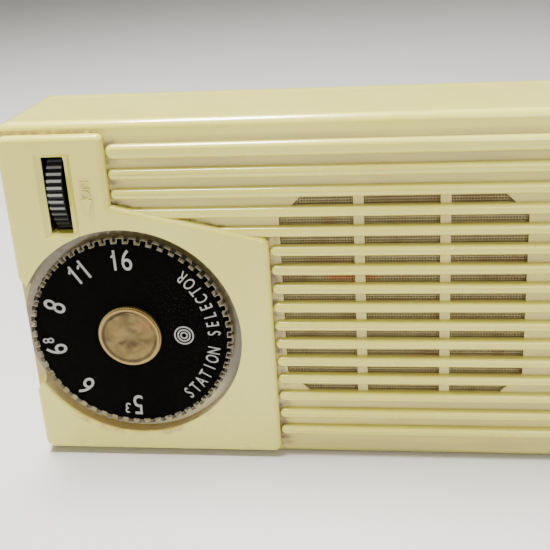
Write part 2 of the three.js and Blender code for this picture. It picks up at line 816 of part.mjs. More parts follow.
resistors.forEach(({ x, z, upright }, i) => {
  const y = seat + resistorRadius;
  const half = resistorLength / 2;
  const bar = upright
    ? barZ(resistorRadius, x, y, z - half, z + half, 12)
    : barX(resistorRadius, y, z, x - half, x + half, 12);
  add(`resistor_${i + 1}`, bar, 'resistor');
});

// Ferrite rod aerial, its coil and the two clips that hold it
const rodEnd = rodStart + rodLength;
add('ferrite_rod', barX(rodRadius, rodY, rodZ, rodStart, rodEnd), 'ferrite');
const coilStart = rodEnd - coilLength - 10;
const coilEnd = coilStart + coilLength;
const coilRadius = rodRadius + gap + coilThickness;
add('antenna_coil', barX(coilRadius, rodY, rodZ, coilStart, coilEnd, 28)
  .subtract(barX(rodRadius + gap, rodY, rodZ, coilStart - cutOver, coilEnd + cutOver, 28)), 'copper');
[rodStart + 4, rodStart + 20].forEach((x, i) => {
  const half = rodRadius + 0.9;
  const clip = block(x - 2, x + 2, seat, rodY + 1.6, rodZ - half, rodZ + half)
    .subtract(barX(rodRadius + gap, rodY, rodZ, x - 2 * cutOver - 2, x + 2 * cutOver + 2));
  add(`rod_clip_${i + 1}`, clip, 'white');
});

// Earphone socket in the left end wall
function earphoneJack() {
  const bodyLeft = wall + gap;
  const bodyRight = wheelX - wheelWidth / 2 - gap;
  const half = 4;
  return barX(jackRadius, jackY, jackZ, gap, bodyLeft + 1)
    .add(block(bodyLeft, bodyRight, jackY - half, jackY + half, jackZ - half, jackZ + half))
    .subtract(barX(jackBoreRadius, jackY, jackZ, -cutOver, bodyRight - jackEndWall));
}
add('earphone_jack', earphoneJack(), 'black');

// Battery, its two snap terminals and the snap connector
const batteryRight = caseLength - wall - tongueThickness - 2 * gap;
const batteryLeft = batteryRight - batteryWidth;
const batteryFront = basketBack + 0.4;
const batteryTop = batteryBase + batteryHeight;
const batteryMiddleX = (batteryLeft + batteryRight) / 2;
const batteryMiddleY = batteryFront + batteryDepth / 2;
const batteryOutline = new THREE.Shape();
batteryOutline.moveTo(batteryLeft + 1, batteryBase);
batteryOutline.lineTo(batteryRight - 1, batteryBase);
batteryOutline.lineTo(batteryRight, batteryBase + 1);
batteryOutline.lineTo(batteryRight, batteryTop - 1);
batteryOutline.lineTo(batteryRight - 1, batteryTop);
batteryOutline.lineTo(batteryLeft + 1, batteryTop);
batteryOutline.lineTo(batteryLeft, batteryTop - 1);
batteryOutline.lineTo(batteryLeft, batteryBase + 1);
add('battery', plate(batteryOutline, batteryFront, batteryFront + batteryDepth, 0.8), 'battery');
const terminalBase = batteryTop + gap;
[[-1, 2.8], [1, 4]].forEach(([side, radius], i) => {
  const x = batteryMiddleX + (side * terminalSpacing) / 2;
  const stud = barZ(radius, x, batteryMiddleY, terminalBase, terminalBase + terminalHeight);
  add(`battery_terminal_${i + 1}`, stud, 'steel');
});
const snapBase = terminalBase + terminalHeight + gap;
add('battery_snap', block(
  batteryLeft + 0.4, batteryRight - 0.4, batteryMiddleY - 6.4, batteryMiddleY + 6.4, snapBase, snapBase + 2.6,
), 'black');

export default radio;
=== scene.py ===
import math

import bmesh
import bpy
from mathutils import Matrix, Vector


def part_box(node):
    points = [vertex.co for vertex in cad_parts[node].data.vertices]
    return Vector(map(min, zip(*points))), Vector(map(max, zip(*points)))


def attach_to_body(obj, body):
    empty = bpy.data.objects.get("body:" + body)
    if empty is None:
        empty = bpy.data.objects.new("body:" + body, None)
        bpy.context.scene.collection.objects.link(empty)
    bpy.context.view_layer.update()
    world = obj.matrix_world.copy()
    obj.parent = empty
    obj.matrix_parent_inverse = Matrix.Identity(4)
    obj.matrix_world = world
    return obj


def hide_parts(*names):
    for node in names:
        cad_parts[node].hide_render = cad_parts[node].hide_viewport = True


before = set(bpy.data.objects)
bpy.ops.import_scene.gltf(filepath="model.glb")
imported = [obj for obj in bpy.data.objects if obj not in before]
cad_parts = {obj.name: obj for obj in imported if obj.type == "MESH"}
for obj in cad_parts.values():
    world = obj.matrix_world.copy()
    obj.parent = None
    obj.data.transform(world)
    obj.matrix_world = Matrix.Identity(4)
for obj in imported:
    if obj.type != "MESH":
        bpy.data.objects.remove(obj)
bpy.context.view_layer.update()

# The camera stands close in front of the set, a little to the right and above, and leans slightly.
# Its shift leaves the right-hand end of the set outside the picture.
camera_data = bpy.data.cameras.new("camera")
camera_data.lens = 56.918
camera_data.shift_x = -0.01674
camera_data.shift_y = -0.08078
camera_data.clip_start = 0.01
camera = bpy.data.objects.new("camera", camera_data)
camera.location = (0.0147, -0.15445, 0.10006)
camera.rotation_euler = [math.radians(angle) for angle in (69.535, 3.084, 6.377)]
bpy.context.scene.collection.objects.link(camera)
bpy.context.scene.camera = camera


# The set stands on a large pale table top, and soft light falls on it from above and in front.
# A broad lamp overhead gives the long bright lines on the rounded edges of the case and the ribs.
mm = 0.001


class Value:
    """A socket of a finish's nodes. Arithmetic on it adds Math nodes."""

    def __init__(self, finish, socket):
        self.finish = finish
        self.socket = socket

    def math(self, operation, *values):
        return self.finish.node("Math", {"operation": operation}, dict(enumerate(values)))

    def __add__(self, other):
        return self.math("ADD", self, other)

    def __sub__(self, other):
        return self.math("SUBTRACT", self, other)

    def __rsub__(self, other):
        return self.math("SUBTRACT", other, self)

    def __mul__(self, other):
        return self.math("MULTIPLY", self, other)

    def __truediv__(self, other):
        return self.math("DIVIDE", self, other)

    def __abs__(self):
        return self.math("ABSOLUTE", self)

    def max(self, other):
        return self.math("MAXIMUM", self, other)

    def min(self, other):
        return self.math("MINIMUM", self, other)

    def step(self, start, end):
        """0 up to start and 1 from end on, or the other way round where end is the smaller."""
        low, high = min(start, end), max(start, end)
        ends = (0, 1) if start < end else (1, 0)
        inputs = {"Value": self, "From Min": low, "From Max": high, "To Min": ends[0], "To Max": ends[1]}
        return self.finish.node("MapRange", {"interpolation_type": "SMOOTHSTEP"}, inputs)

    __radd__ = __add__
    __rmul__ = __mul__


class Finish:
    """A surface's material. The keywords set the sockets that are the same all over."""

    def __init__(self, name, **everywhere):
        self.material = bpy.data.materials.new(name)
        self.material.use_nodes = True
        self.tree = self.material.node_tree
        self.shader = self.tree.nodes["Principled BSDF"]
        for socket, value in everywhere.items():
            self.shader.inputs[socket.replace("_", " ").title().replace("Ior", "IOR")].default_value = value
        place = self.node("TexCoord", {}, {}, "Object")
        self.spot = self.node("VectorMath", {"operation": "SCALE"}, {0: place, "Scale": 1 / mm})
        self.x, self.y, self.z = [self.node("SeparateXYZ", {}, {0: self.spot}, axis) for axis in "XYZ"]

    def node(self, kind, settings, inputs, output=0):
        """Adds a node and gives one of its outputs. Settings are made first, a ramp's stops among them."""
        made = self.tree.nodes.new("ShaderNode" + kind)
        for setting, value in settings.items():
            if setting == "stops":
                ramp = made.color_ramp
                while len(ramp.elements) < len(value):
                    ramp.elements.new(1)
                for element, (position, color) in zip(ramp.elements, value):
                    element.position = position
                    element.color = (*color, 1)
            else:
                setattr(made, setting, value)
        for name, value in inputs.items():
            if isinstance(value, Value):
                self.tree.links.new(value.socket, made.inputs[name])
            else:
                made.inputs[name].default_value = value
        return Value(self, made.outputs[output])

    def noise(self, size, detail=2, stretch=(1, 1, 1), seed=0):
        """Smooth noise from 0 to 1 about its middle. size is that of its lumps, in millimetres."""
        offset = (seed * 17.3, seed * 5.1, seed * 9.7)
        moved = self.node("Mapping", {}, {0: self.spot, "Scale": stretch, "Location": offset})
        return self.node("TexNoise", {}, {"Vector": moved, "Scale": 1 / size, "Detail": detail})

    def mix(self, share, first, second):
        """Two colours mixed. A colour is three numbers or a value."""
        colors = [value if isinstance(value, Value) else (*value, 1) for value in (first, second)]
        inputs = {0: share, 6: colors[0], 7: colors[1]}
        return self.node("Mix", {"data_type": "RGBA", "clamp_factor": True}, inputs, 2)

    def rough_surface(self, height, depth):
        """Bumps as high as depth, in millimetres, where height is 1."""
        normal = self.node("Bump", {}, {"Height": height, "Distance": depth * mm, "Strength": 1})
        self.set("Normal", normal)

    def set(self, name, value):
        self.tree.links.new(value.socket, self.shader.inputs[name])


table_size = 3
bpy.ops.object.select_all(action="DESELECT")
bpy.ops.mesh.primitive_plane_add(size=table_size, location=(0, 0, -0.1 * mm))
table = bpy.context.object
table.name = "table_top"
table_finish = Finish("pale table", roughness=0.6)
table_grain = table_finish.noise(60, 3)
table_finish.set("Base Color", table_finish.mix(table_grain, (0.58, 0.57, 0.55), (0.64, 0.63, 0.61)))
table.data.materials.append(table_finish.material)

surroundings = bpy.data.worlds.new("surroundings")
surroundings.use_nodes = True
surroundings.node_tree.nodes["Background"].inputs["Color"].default_value = (1, 0.97, 0.88, 1)
surroundings.node_tree.nodes["Background"].inputs["Strength"].default_value = 0.32
bpy.context.scene.world = surroundings


def lamp(name, place, aim, width, height, power):
    """A soft rectangular lamp at a place, turned towards its aim."""
    data = bpy.data.lights.new(name, "AREA")
    data.shape = "RECTANGLE"
    data.size = width
    data.size_y = height
    data.energy = power
    made = bpy.data.objects.new(name, data)
    made.location = place
    made.rotation_euler = (Vector(aim) - Vector(place)).to_track_quat("-Z", "Y").to_euler()
    bpy.context.scene.collection.objects.link(made)


lamp("overhead_lamp", (-0.12, 0.02, 0.6), (-0.02, 0, 0.05), 0.3, 0.12, 13)
lamp("front_lamp", (0.35, -0.75, 0.5), (0, 0, 0.03), 0.5, 0.5, 3.6)


# Front half of the case: a deep injection-moulded shell of glossy cream plastic, open at the back.
# Its face lies back behind the ribs. Posts behind it carry the board, the loudspeaker and the cover's screw.
case_low, case_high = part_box("front_shell")
case_height = case_high.z
corner_radius = 2.5 * mm
front_edge_radius = 1.6 * mm
wall = 1.8 * mm
groove_depth = 1.6 * mm
parting = case_high.y


def place(x, y, z):
    """A point given in millimetres from the case's left end, the dial panel's face and the base."""
    return Vector((case_low.x + x * mm, case_low.y + y * mm, z * mm))


def activate(piece):
    bpy.ops.object.select_all(action="DESELECT")
    piece.select_set(True)
    bpy.context.view_layer.objects.active = piece


def settle():
    """Puts the new object's place and turn into its mesh."""
    bpy.ops.object.transform_apply(location=True, rotation=True, scale=True)
    return bpy.context.object


def block(name, low, high):
    """A block between two opposite corners, to be shaped further."""
    bpy.ops.object.select_all(action="DESELECT")
    bpy.ops.mesh.primitive_cube_add(size=1, location=(low + high) / 2, scale=high - low)
    bpy.context.object.name = name
    return settle()


turns = {"X": (0, math.pi / 2, 0), "Y": (math.pi / 2, 0, 0), "Z": (0, 0, 0)}


def round_bar(name, axis, start, length, radius, sides=96):
    """A round bar from its start along an axis, to be shaped further."""
    middle = start.copy()
    middle["XYZ".index(axis)] += length / 2
    bpy.ops.object.select_all(action="DESELECT")
    bpy.ops.mesh.primitive_cylinder_add(
        vertices=sides, radius=radius, depth=length, location=middle, rotation=turns[axis]
    )
    bpy.context.object.name = name
    return settle()


def choose(piece, kind, test):
    """Goes into edit mode with the edges or faces chosen that pass the test."""
    activate(piece)
    bpy.ops.object.mode_set(mode="EDIT")
    bpy.ops.mesh.select_mode(type=kind)
    bpy.ops.mesh.select_all(action="DESELECT")
    mesh = bmesh.from_edit_mesh(piece.data)
    for part in mesh.edges if kind == "EDGE" else mesh.faces:
        if test(part):
            part.select_set(True)
    bmesh.update_edit_mesh(piece.data)


def round_edges(piece, test, radius, segments=5):
    """Rounds the edges whose two ends pass the test."""
    choose(piece, "EDGE", lambda edge: test(*[corner.co for corner in edge.verts]))
    bpy.ops.mesh.bevel(offset=radius, segments=segments, affect="EDGES")
    bpy.ops.object.mode_set(mode="OBJECT")


def along_y(a, b):
    return abs(a.x - b.x) + abs(a.z - b.z) < 0.01 * mm


def in_plane_y(y):
    return lambda a, b: abs(a.y - y) + abs(b.y - y) < 0.01 * mm


def use_modifier(piece, kind, **settings):
    activate(piece)
    modifier = piece.modifiers.new(kind.lower(), kind)
    for setting, value in settings.items():
        setattr(modifier, setting, value)
    bpy.ops.object.modifier_apply(modifier=modifier.name)


def carve(piece, tool, operation="DIFFERENCE"):
    """Cuts a piece with a tool object, or joins them, and takes the tool away."""
    use_modifier(piece, "BOOLEAN", object=tool, operation=operation, solver="EXACT")
    bpy.data.objects.remove(tool)


def break_edges(piece, width, angle, segments=2):
    """Rounds every edge that turns by more than the angle."""
    use_modifier(piece, "BEVEL", width=width, segments=segments, limit_method="ANGLE",
                 angle_limit=math.radians(angle))


def smooth(piece, angle):
    """Shades the roundings smooth and keeps the flat faces flat."""
    activate(piece)
    bpy.ops.object.shade_smooth_by_angle(angle=math.radians(angle))
    use_modifier(piece, "WEIGHTED_NORMAL", keep_sharp=True)


def attach(piece, finish, body, *nodes, slot=None):
    """Gives a finished piece its material, its body and the CAD nodes that it stands for."""
    piece.data.materials.clear()
    piece.data.materials.append(finish.material)
    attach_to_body(piece, body)
    if nodes:
        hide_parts(*nodes)


def case_outline(name, front, back, inset, radius, segments=8):
    """A block with the case's outline, smaller all round by the inset, with rounded corners."""
    low = place(0, 0, 0) + Vector((inset, 0, inset))
    high = Vector((case_high.x - inset, 0, case_height - inset))
    low.y, high.y = front, back
    made = block(name, low, high)
    round_edges(made, along_y, radius, segments)
    return made


face = case_low.y + groove_depth
case_front = case_outline("case_front", face, parting, 0, corner_radius)
round_edges(case_front, in_plane_y(face), front_edge_radius, 6)
carve(case_front, case_outline("hollow", face + wall, parting + wall, wall, corner_radius - wall / 2))


def middle_of(node):
    low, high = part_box(node)
    return (low + high) / 2


def post(node, radius, bore, front, back, bore_front):
    """A round post behind the face, bored for the screw that it takes."""
    start = middle_of(node)
    start.y = case_low.y + front
    made = round_bar("post", "Y", start, back - front, radius, 48)
    start.y = case_low.y + bore_front
    carve(made, round_bar("bore", "Y", start, back, bore, 32))
    return made


inner_face = groove_depth + wall
post_front = inner_face - 0.3 * mm
bore_front = inner_face - 0.1 * mm
for node in ("board_screw_1", "board_screw_2", "board_screw_3"):
    carve(case_front, post(node, 2.5 * mm, 1.3 * mm, post_front, 5.1 * mm, bore_front), "UNION")
carve(case_front, post("cover_screw", 3.2 * mm, 2.3 * mm, post_front, 19 * mm, 12.7 * mm), "UNION")


# Raised panel round the dial and the volume wheel, moulded in one with the case.
# Its front edge is rounded, and its right-hand side slants down over the ribs.
panel_shoulder = 20.05
panel_end = 48
slant_top = 51.9
panel_slant = 6.7
panel_round = 1.15 * mm
panel = block("panel", place(0.5, 0, 1), place(panel_shoulder, 3.1, 64.9))
choose(panel, "FACE", lambda face: True)
bpy.ops.mesh.bisect(plane_co=place(0, 0, slant_top), plane_no=(0, 0, 1))
bpy.ops.object.mode_set(mode="OBJECT")
choose(panel, "FACE", lambda face: face.normal.x > 0.5 and face.calc_center_median().z < slant_top * mm)
bpy.ops.mesh.extrude_region_move(TRANSFORM_OT_translate={"value": ((panel_end - panel_shoulder) * mm, 0, 0)})
bpy.ops.object.mode_set(mode="OBJECT")
shoulder = place(panel_end - 0.1, 0, 50)
choose(panel, "EDGE", lambda edge: all(v.co.x > shoulder.x and v.co.z > shoulder.z for v in edge.verts))
bpy.ops.transform.translate(value=(0, 0, -panel_slant * mm))
bpy.ops.mesh.select_all(action="SELECT")
bpy.ops.mesh.dissolve_limited(angle_limit=math.radians(1))
bpy.ops.object.mode_set(mode="OBJECT")
left_edge = place(1, 0, 0).x
inner_corner = place(panel_shoulder, 0, slant_top)
round_edges(panel, lambda a, b: along_y(a, b) and a.x < left_edge, 1.8 * mm, 6)
round_edges(
    panel,
    lambda a, b: along_y(a, b) and a.x > inner_corner.x - mm and (a - inner_corner).xz.length > 2 * mm,
    1.3 * mm,
)
round_edges(panel, in_plane_y(case_low.y), panel_round, 7)
carve(case_front, panel, "UNION")


# Round recess for the dial, with a boss behind it, a hole for the shaft and a scoop for the thumb.
# The scoop is hollowed out of the case's left edge.
dial_low, dial_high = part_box("tuning_dial")
dial_centre = (dial_low + dial_high) / 2
dial_radius = (dial_high.x - dial_low.x) / 2
recess_radius = dial_radius + 1.8 * mm
recess_floor = case_low.y + 2.9 * mm
boss_start = Vector((dial_centre.x, face + mm, dial_centre.z))
boss = round_bar("boss", "Y", boss_start, recess_floor + wall - boss_start.y, recess_radius + wall)
carve(boss, case_outline("room", case_low.y, parting, 0.4 * mm, corner_radius), "INTERSECT")
pot_room = middle_of("volume_pot") - Vector((3.05 * mm, 0, 0))
carve(boss, round_bar("pot_room", "X", pot_room, 6.1 * mm, 6.1 * mm, 64))
carve(case_front, boss, "UNION")
recess_start = Vector((dial_centre.x, case_low.y - 5 * mm, dial_centre.z))
recess = round_bar("recess", "Y", recess_start, recess_floor - recess_start.y, recess_radius, 160)
carve(recess, round_bar("shaft_hole", "Y", recess_start, 12 * mm, 4 * mm, 48), "UNION")
bpy.ops.object.select_all(action="DESELECT")
bpy.ops.mesh.primitive_uv_sphere_add(
    segments=96, ring_count=48, radius=1,
    location=(case_low.x - 1.6 * mm, case_low.y + mm, dial_centre.z),
    scale=(6.5 * mm, 4 * mm, 13 * mm),
)
scoop = settle()
reach = 20 * mm
limit = Vector((case_low.x - reach, case_low.y - reach, 0))
carve(scoop, block("limit", limit, Vector((0, recess_floor, case_height))), "INTERSECT")
carve(recess, scoop, "UNION")
carve(case_front, recess)


# Slot that the volume wheel looks out of, in a shallow hollow for the finger.
# Behind the slot is a round room for the wheel.
wheel_low, wheel_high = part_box("volume_wheel")
wheel_radius = (wheel_high.z - wheel_low.z) / 2
wheel_width = 2.8 * mm
wheel_centre = middle_of("volume_wheel")
wheel_centre.x = wheel_low.x + wheel_width / 2
slot_half_width = wheel_width / 2 + 0.65 * mm
slot_half_length = 0.74 * wheel_radius
across = Vector((slot_half_width, 0, slot_half_length))
slot_low = wheel_centre - across
slot_high = wheel_centre + across
slot_low.y = case_low.y - 5 * mm
slot_high.y = face + 3 * mm
slot_low.z -= 0.35 * mm
slot = block("slot", slot_low, slot_high)
room_start = wheel_centre - Vector((slot_half_width, 0, 0))
carve(slot, round_bar("room", "X", room_start, 2 * slot_half_width, wheel_radius + 0.3 * mm, 128), "UNION")
hollow_low = place(6.3, -1, 44.9)
hollow_high = place(14.9, 1.1, 62.5)
finger_hollow = block("finger_hollow", hollow_low, hollow_high)
hollow_middle = (hollow_low + hollow_high) / 2
choose(finger_hollow, "FACE", lambda face: face.normal.y > 0.5)
bpy.ops.transform.resize(value=(0.52, 1, 0.78), center_override=hollow_middle)
bpy.ops.object.mode_set(mode="OBJECT")
round_edges(finger_hollow, in_plane_y(hollow_high.y), 1.2 * mm, 6)
carve(case_front, finger_hollow)
carve(case_front, slot)


# Grille: three slots side by side in each of eleven grooves, with a pocket behind for the mesh.
# The outline has cut corners, and the face is thinner there.
rib_pitch = 3.7 * mm
rib_height = 2 * mm
rib_base = 4.64 * mm
rib_count = 16
grille_centre = middle_of("grille_mesh")
grille_width = 43 * mm
grille_rows = 11
grille_corner = 5 * mm
bar_width = 1.85 * mm
slot_over = 0.03 * mm


def grille_outline(name, border, front, back):
    """A block with the grille's outline and its cut corners, widened all round by the border."""
    half = Vector((grille_width / 2 + border, 0, grille_rows * rib_pitch / 2 + border))
    low = grille_centre - half
    high = grille_centre + half
    low.y, high.y = front, back
    made = block(name, low, high)
    round_edges(made, along_y, grille_corner, 1)
    return made


pocket_floor = face + 0.5 * mm
carve(case_front, grille_outline("pocket", mm, pocket_floor, face + wall + 0.3 * mm))
column = (grille_width - 2 * bar_width) / 3
first_row = round((grille_centre.z - rib_base - (rib_height + rib_pitch) / 2) / rib_pitch) - grille_rows // 2
row_low = grille_centre - Vector((grille_width / 2, 0, 0))
row_low.y = face - 2 * mm
row_low.z = rib_base + first_row * rib_pitch + rib_height - slot_over
row_high = row_low + Vector((column, 5 * mm, rib_pitch - rib_height + 2 * slot_over))
slots = block("slots", row_low, row_high)
use_modifier(slots, "ARRAY", count=3, use_relative_offset=False, use_constant_offset=True,
             constant_offset_displace=(column + bar_width, 0, 0))
use_modifier(slots, "ARRAY", count=grille_rows, use_relative_offset=False, use_constant_offset=True,
             constant_offset_displace=(0, 0, rib_pitch))
carve(slots, grille_outline("grille_room", 0, face - 5 * mm, face + 5 * mm), "INTERSECT")
carve(case_front, slots)
for node in ("clip_screw_1", "clip_screw_2"):
    carve(case_front, post(node, 2.1 * mm, 1.3 * mm, 1.9 * mm, 5.2 * mm, bore_front), "UNION")

jack_middle = middle_of("earphone_jack")
jack_middle.x = case_low.x - 5 * mm
carve(case_front, round_bar("jack_hole", "X", jack_middle, 8 * mm, 3.2 * mm, 64))
break_edges(case_front, 0.12 * mm, 50)
smooth(case_front, 32)


# Glossy cream plastic of both halves, yellowed a little, with old dirt in the grooves and round the dial.
# The dirt is tan along the grooves, dark brown at their ends and ochre at the lower edge of the recess. The
# recess itself is painted dark above as painted shade and pale below as painted light, with an ochre painted
# shadow on its lower wall, and the slot's walls are painted near-black as painted shade.
def from_axis(finish, centre):
    """Distance in millimetres from an axis along Y through a point."""
    arm = finish.node("CombineXYZ", {}, {"X": finish.x - centre.x / mm, "Z": finish.z - centre.z / mm})
    return finish.node("VectorMath", {"operation": "LENGTH"}, {0: arm}, "Value")


cream = Finish("cream plastic", roughness=0.26, coat_weight=0.9, coat_roughness=0.12)
x = cream.x - case_low.x / mm
y = cream.y - case_low.y / mm
z = cream.z
cloud = cream.noise(22, 3)
fine = cream.noise(1.3, 4, seed=1)
streak = cream.noise(2.2, 4, (0.12, 1, 1), seed=2)
cream_color = cream.mix(cloud.step(0.35, 0.7), (0.79, 0.73, 0.14), (0.75, 0.68, 0.115))

in_groove = y.step(1.2, 1.55) * y.step(2.2, 1.9) * x.step(20, 20.6) * z.step(64.6, 63.4)
tan = in_groove * (0.35 + 0.65 * streak.step(0.2, 0.7)) * 0.7
cream_color = cream.mix(tan, cream_color, (0.47, 0.37, 0.13))

slant = ((slant_top - z) / panel_slant).max(0).min(1) * (panel_end - panel_shoulder) + panel_shoulder
past_panel = x - slant
corner = past_panel.step(3.2, 0.2) * past_panel.step(-1.2, -0.2) * y.step(0.8, 1.4) * y.step(2.2, 1.9)
brown = corner * (fine * 0.6 + streak * 0.6).step(0.42, 0.75) * z.step(64.9, 63)
cream_color = cream.mix(brown, cream_color, (0.13, 0.06, 0.02))

ochre_line = abs(z - 65.15).step(0.8, 0.15) * x.step(21, 19.5) * y.step(1.2, 1.5) * y.step(2.6, 2.2)
ochre_line = ochre_line * fine.step(0.2, 0.6)
cream_color = cream.mix(ochre_line * 0.9, cream_color, (0.44, 0.28, 0.06))

rim = recess_radius / mm
out = from_axis(cream, dial_centre)
in_recess = out.step(rim + 0.25, rim) * y.step(0.35, 1) * y.step(3.3, 3)
# The recess is painted dark on its upper side as painted shade and pale on its lower side as painted light.
# Its lower wall gets an ochre painted shadow. Fine dirt on the upper part and brown mottles at the upper left
# go over these.
painted_light_below = z.step(19, 9)
recess_dirt_and_painted_shade = cream.mix(painted_light_below, (0.17, 0.13, 0.065), (0.80, 0.70, 0.44))
recess_wall_painted_shadow = out.step(rim - 0.2, rim - 0.05) * painted_light_below
recess_dirt_and_painted_shade = cream.mix(recess_wall_painted_shadow, recess_dirt_and_painted_shade, (0.42, 0.29, 0.08))
recess_dirt_and_painted_shade = cream.mix(fine.step(0.45, 0.7) * 0.3 * z.step(22, 30), recess_dirt_and_painted_shade, (0.38, 0.31, 0.16))
mottle = cream.noise(2.4, 4, seed=9).step(0.5, 0.62) * x.step(24, 14) * z.step(36, 42)
recess_dirt_and_painted_shade = cream.mix(mottle * 0.8, recess_dirt_and_painted_shade, (0.12, 0.055, 0.02))
cream_color = cream.mix(in_recess * 0.95, cream_color, recess_dirt_and_painted_shade)
lip = abs(out - (rim + 0.25)).step(0.9, 0.1) * z.step(12, 7) * y.step(1.2, 0.8)
lip = lip * cream.noise(3, 3, seed=8).step(0.4, 0.65)
cream_color = cream.mix(lip * 0.8, cream_color, (0.47, 0.29, 0.08))
in_scoop = x.step(5, 4) * y.step(0.15, 0.6) * y.step(4.6, 4.2) * out.step(rim, rim + 0.3)
in_scoop = in_scoop * abs(z - dial_centre.z / mm).step(13.2, 12)
cream_color = cream.mix(in_scoop * 0.7, cream_color, (0.34, 0.26, 0.08))

# The slot's walls are painted near-black: painted shade inside the slot.
slot_painted_shade = y.step(1.0, 1.15) * y.step(6, 5)
for offset, half in (
    (cream.x - wheel_centre.x / mm, slot_half_width / mm), (z - wheel_centre.z / mm, slot_half_length / mm)
):
    slot_painted_shade = slot_painted_shade * abs(offset).step(half + 0.3, half + 0.2)
cream_color = cream.mix(slot_painted_shade, cream_color, (0.012, 0.011, 0.01))
mark_side = y.step(-0.02, -0.05) * y.step(-0.24, -0.2) * x.step(14.5, 14.6) * x.step(18, 17.9)
mark_side = mark_side * z.step(49, 50)
cream_color = cream.mix(mark_side * 0.9, cream_color, (0.20, 0.12, 0.04))
round_mark = abs(x - 16.1).step(1.5, 0.9) * abs(z - 53.8).step(4.2, 3.2)
round_mark = round_mark * y.step(-0.03, -0.01) * y.step(0.1, 0.05)
cream_color = cream.mix(round_mark * 0.12 * fine, cream_color, (0.40, 0.28, 0.09))

specks = cream.noise(0.5, 2, seed=3).step(0.74, 0.8) * cream.noise(7, 2, seed=4).step(0.5, 0.62)
cream_color = cream.mix(specks * 0.5, cream_color, (0.3, 0.2, 0.08))
cream.set("Base Color", cream_color)
cream.set("Roughness", 0.2 + 0.12 * cream.noise(4, 4, seed=5) + 0.3 * tan + 0.3 * brown)
cream.rough_surface(cream.noise(5, 2, seed=6) + 0.06 * fine, 0.035)
attach(case_front, cream, "case", "front_shell", slot="cream_plastic")


# Sixteen half-round ribs across the face, moulded with the case. The top one is taller.
# Those beside the panel's slanted edge run into it, and the others stop just short with rounded ends.
rib_setback = 0.45
rib_end = 107
for index in range(rib_count):
    bottom = (rib_base + index * rib_pitch) / mm
    top_rib = index == rib_count - 1
    height = 2.8 if top_rib else rib_height / mm
    drop = (slant_top - bottom - height) / panel_slant
    panel_side = panel_shoulder + min(max(drop, 0), 1) * (panel_end - panel_shoulder)
    under_slant = -0.4 < drop < 1.1
    start = panel_side - 1.5 if under_slant else panel_side + 0.12
    rib = block(f"rib_{index + 1:02d}", place(start, rib_setback, bottom), place(rib_end, 2, bottom + height))
    end_round = 1.25 * mm if top_rib else 0.96 * mm
    if not under_slant:
        round_edges(rib, lambda a, b: along_y(a, b) and a.x < case_low.x + 60 * mm, end_round, 6)
    rib_front = case_low.y + rib_setback * mm
    round_edges(rib, in_plane_y(rib_front), 1.15 * mm if top_rib else 0.93 * mm, 8)
    smooth(rib, 40)
    attach(rib, cream, "case", slot="cream_plastic")


# Raised letters and an arrow beside the wheel show which way switches the set on.
# They are moulded in the same plastic as the panel.
def lettering(words, middle, size, turn, thickness, width=1.0, weight=0.0):
    """Flat letters facing forwards, turned anticlockwise, as a thin mesh."""
    bpy.ops.object.select_all(action="DESELECT")
    bpy.ops.object.text_add(location=middle, rotation=(math.pi / 2, -turn, 0))
    letters = bpy.context.object
    letters.data.body = words
    letters.data.size = size
    letters.data.align_x = "CENTER"
    letters.data.align_y = "CENTER"
    letters.data.extrude = thickness / 2
    letters.data.offset = weight
    letters.scale.x = width
    bpy.ops.object.convert(target="MESH")
    return settle()


def joined(pieces, name):
    bpy.ops.object.select_all(action="DESELECT")
    for piece in pieces:
        piece.select_set(True)
    bpy.context.view_layer.objects.active = pieces[0]
    bpy.ops.object.join()
    pieces[0].name = name
    return pieces[0]


on_mark = lettering("ON", place(16.1, 0, 54.95), 2.35 * mm, math.pi / 2, 0.5 * mm, 0.95)
arrow = block("arrow", place(15.05, -0.25, 50.6), place(17.15, 0.1, 53.3))
choose(arrow, "EDGE", lambda edge: all(v.co.z < 51 * mm for v in edge.verts) and edge.calc_length() > 1 * mm)
bpy.ops.transform.resize(value=(0.02, 1, 1), center_override=place(16.1, 0, 50.6))
bpy.ops.object.mode_set(mode="OBJECT")
on_mark = joined([on_mark, arrow], "on_mark")
use_modifier(on_mark, "WELD", merge_threshold=0.005 * mm)
attach(on_mark, cream, "case", slot="cream_plastic")


# Volume wheel: a black moulded disc with a ribbed rim, on a short axle into the volume control.
# Its rim stands a little out of the slot, where a thumb turns it.
wheel_ridges = 46
ridge_depth = 0.5 * mm
wheel_start = wheel_centre - Vector((wheel_width / 2, 0, 0))
wheel = round_bar("volume_thumbwheel", "X", wheel_start, wheel_width, wheel_radius, 4 * wheel_ridges)
choose(wheel, "FACE", lambda face: abs(face.normal.x) > 0.5)
bpy.ops.mesh.inset(thickness=1.6 * mm)
bpy.ops.mesh.inset(thickness=0.25 * mm, depth=-0.35 * mm)
bpy.ops.mesh.inset(thickness=3.4 * mm)
bpy.ops.mesh.inset(thickness=0.25 * mm, depth=0.35 * mm)
bpy.ops.object.mode_set(mode="OBJECT")
for corner in wheel.data.vertices:
    arm = (corner.co - wheel_centre) * Vector((0, 1, 1))
    part = math.atan2(arm.z, arm.y) / (2 * math.pi) * wheel_ridges
    if arm.length > wheel_radius - 0.1 * mm and round(part * 4) % 4 in (1, 2):
        corner.co -= arm.normalized() * ridge_depth


def on_wheel_rim(a, b):
    nearest = min((a - wheel_centre).yz.length, (b - wheel_centre).yz.length)
    return abs(a.x - b.x) < 0.01 * mm and nearest > wheel_radius - 0.6 * mm


round_edges(wheel, on_wheel_rim, 0.12 * mm, 2)
axle = round_bar("axle", "X", wheel_centre, wheel_high.x - wheel_centre.x, 1.6 * mm, 48)
round_edges(axle, lambda a, b: min(a.x, b.x) > wheel_high.x - 0.1 * mm, 0.2 * mm, 2)
wheel = joined([wheel, axle], "volume_thumbwheel")
smooth(wheel, 30)

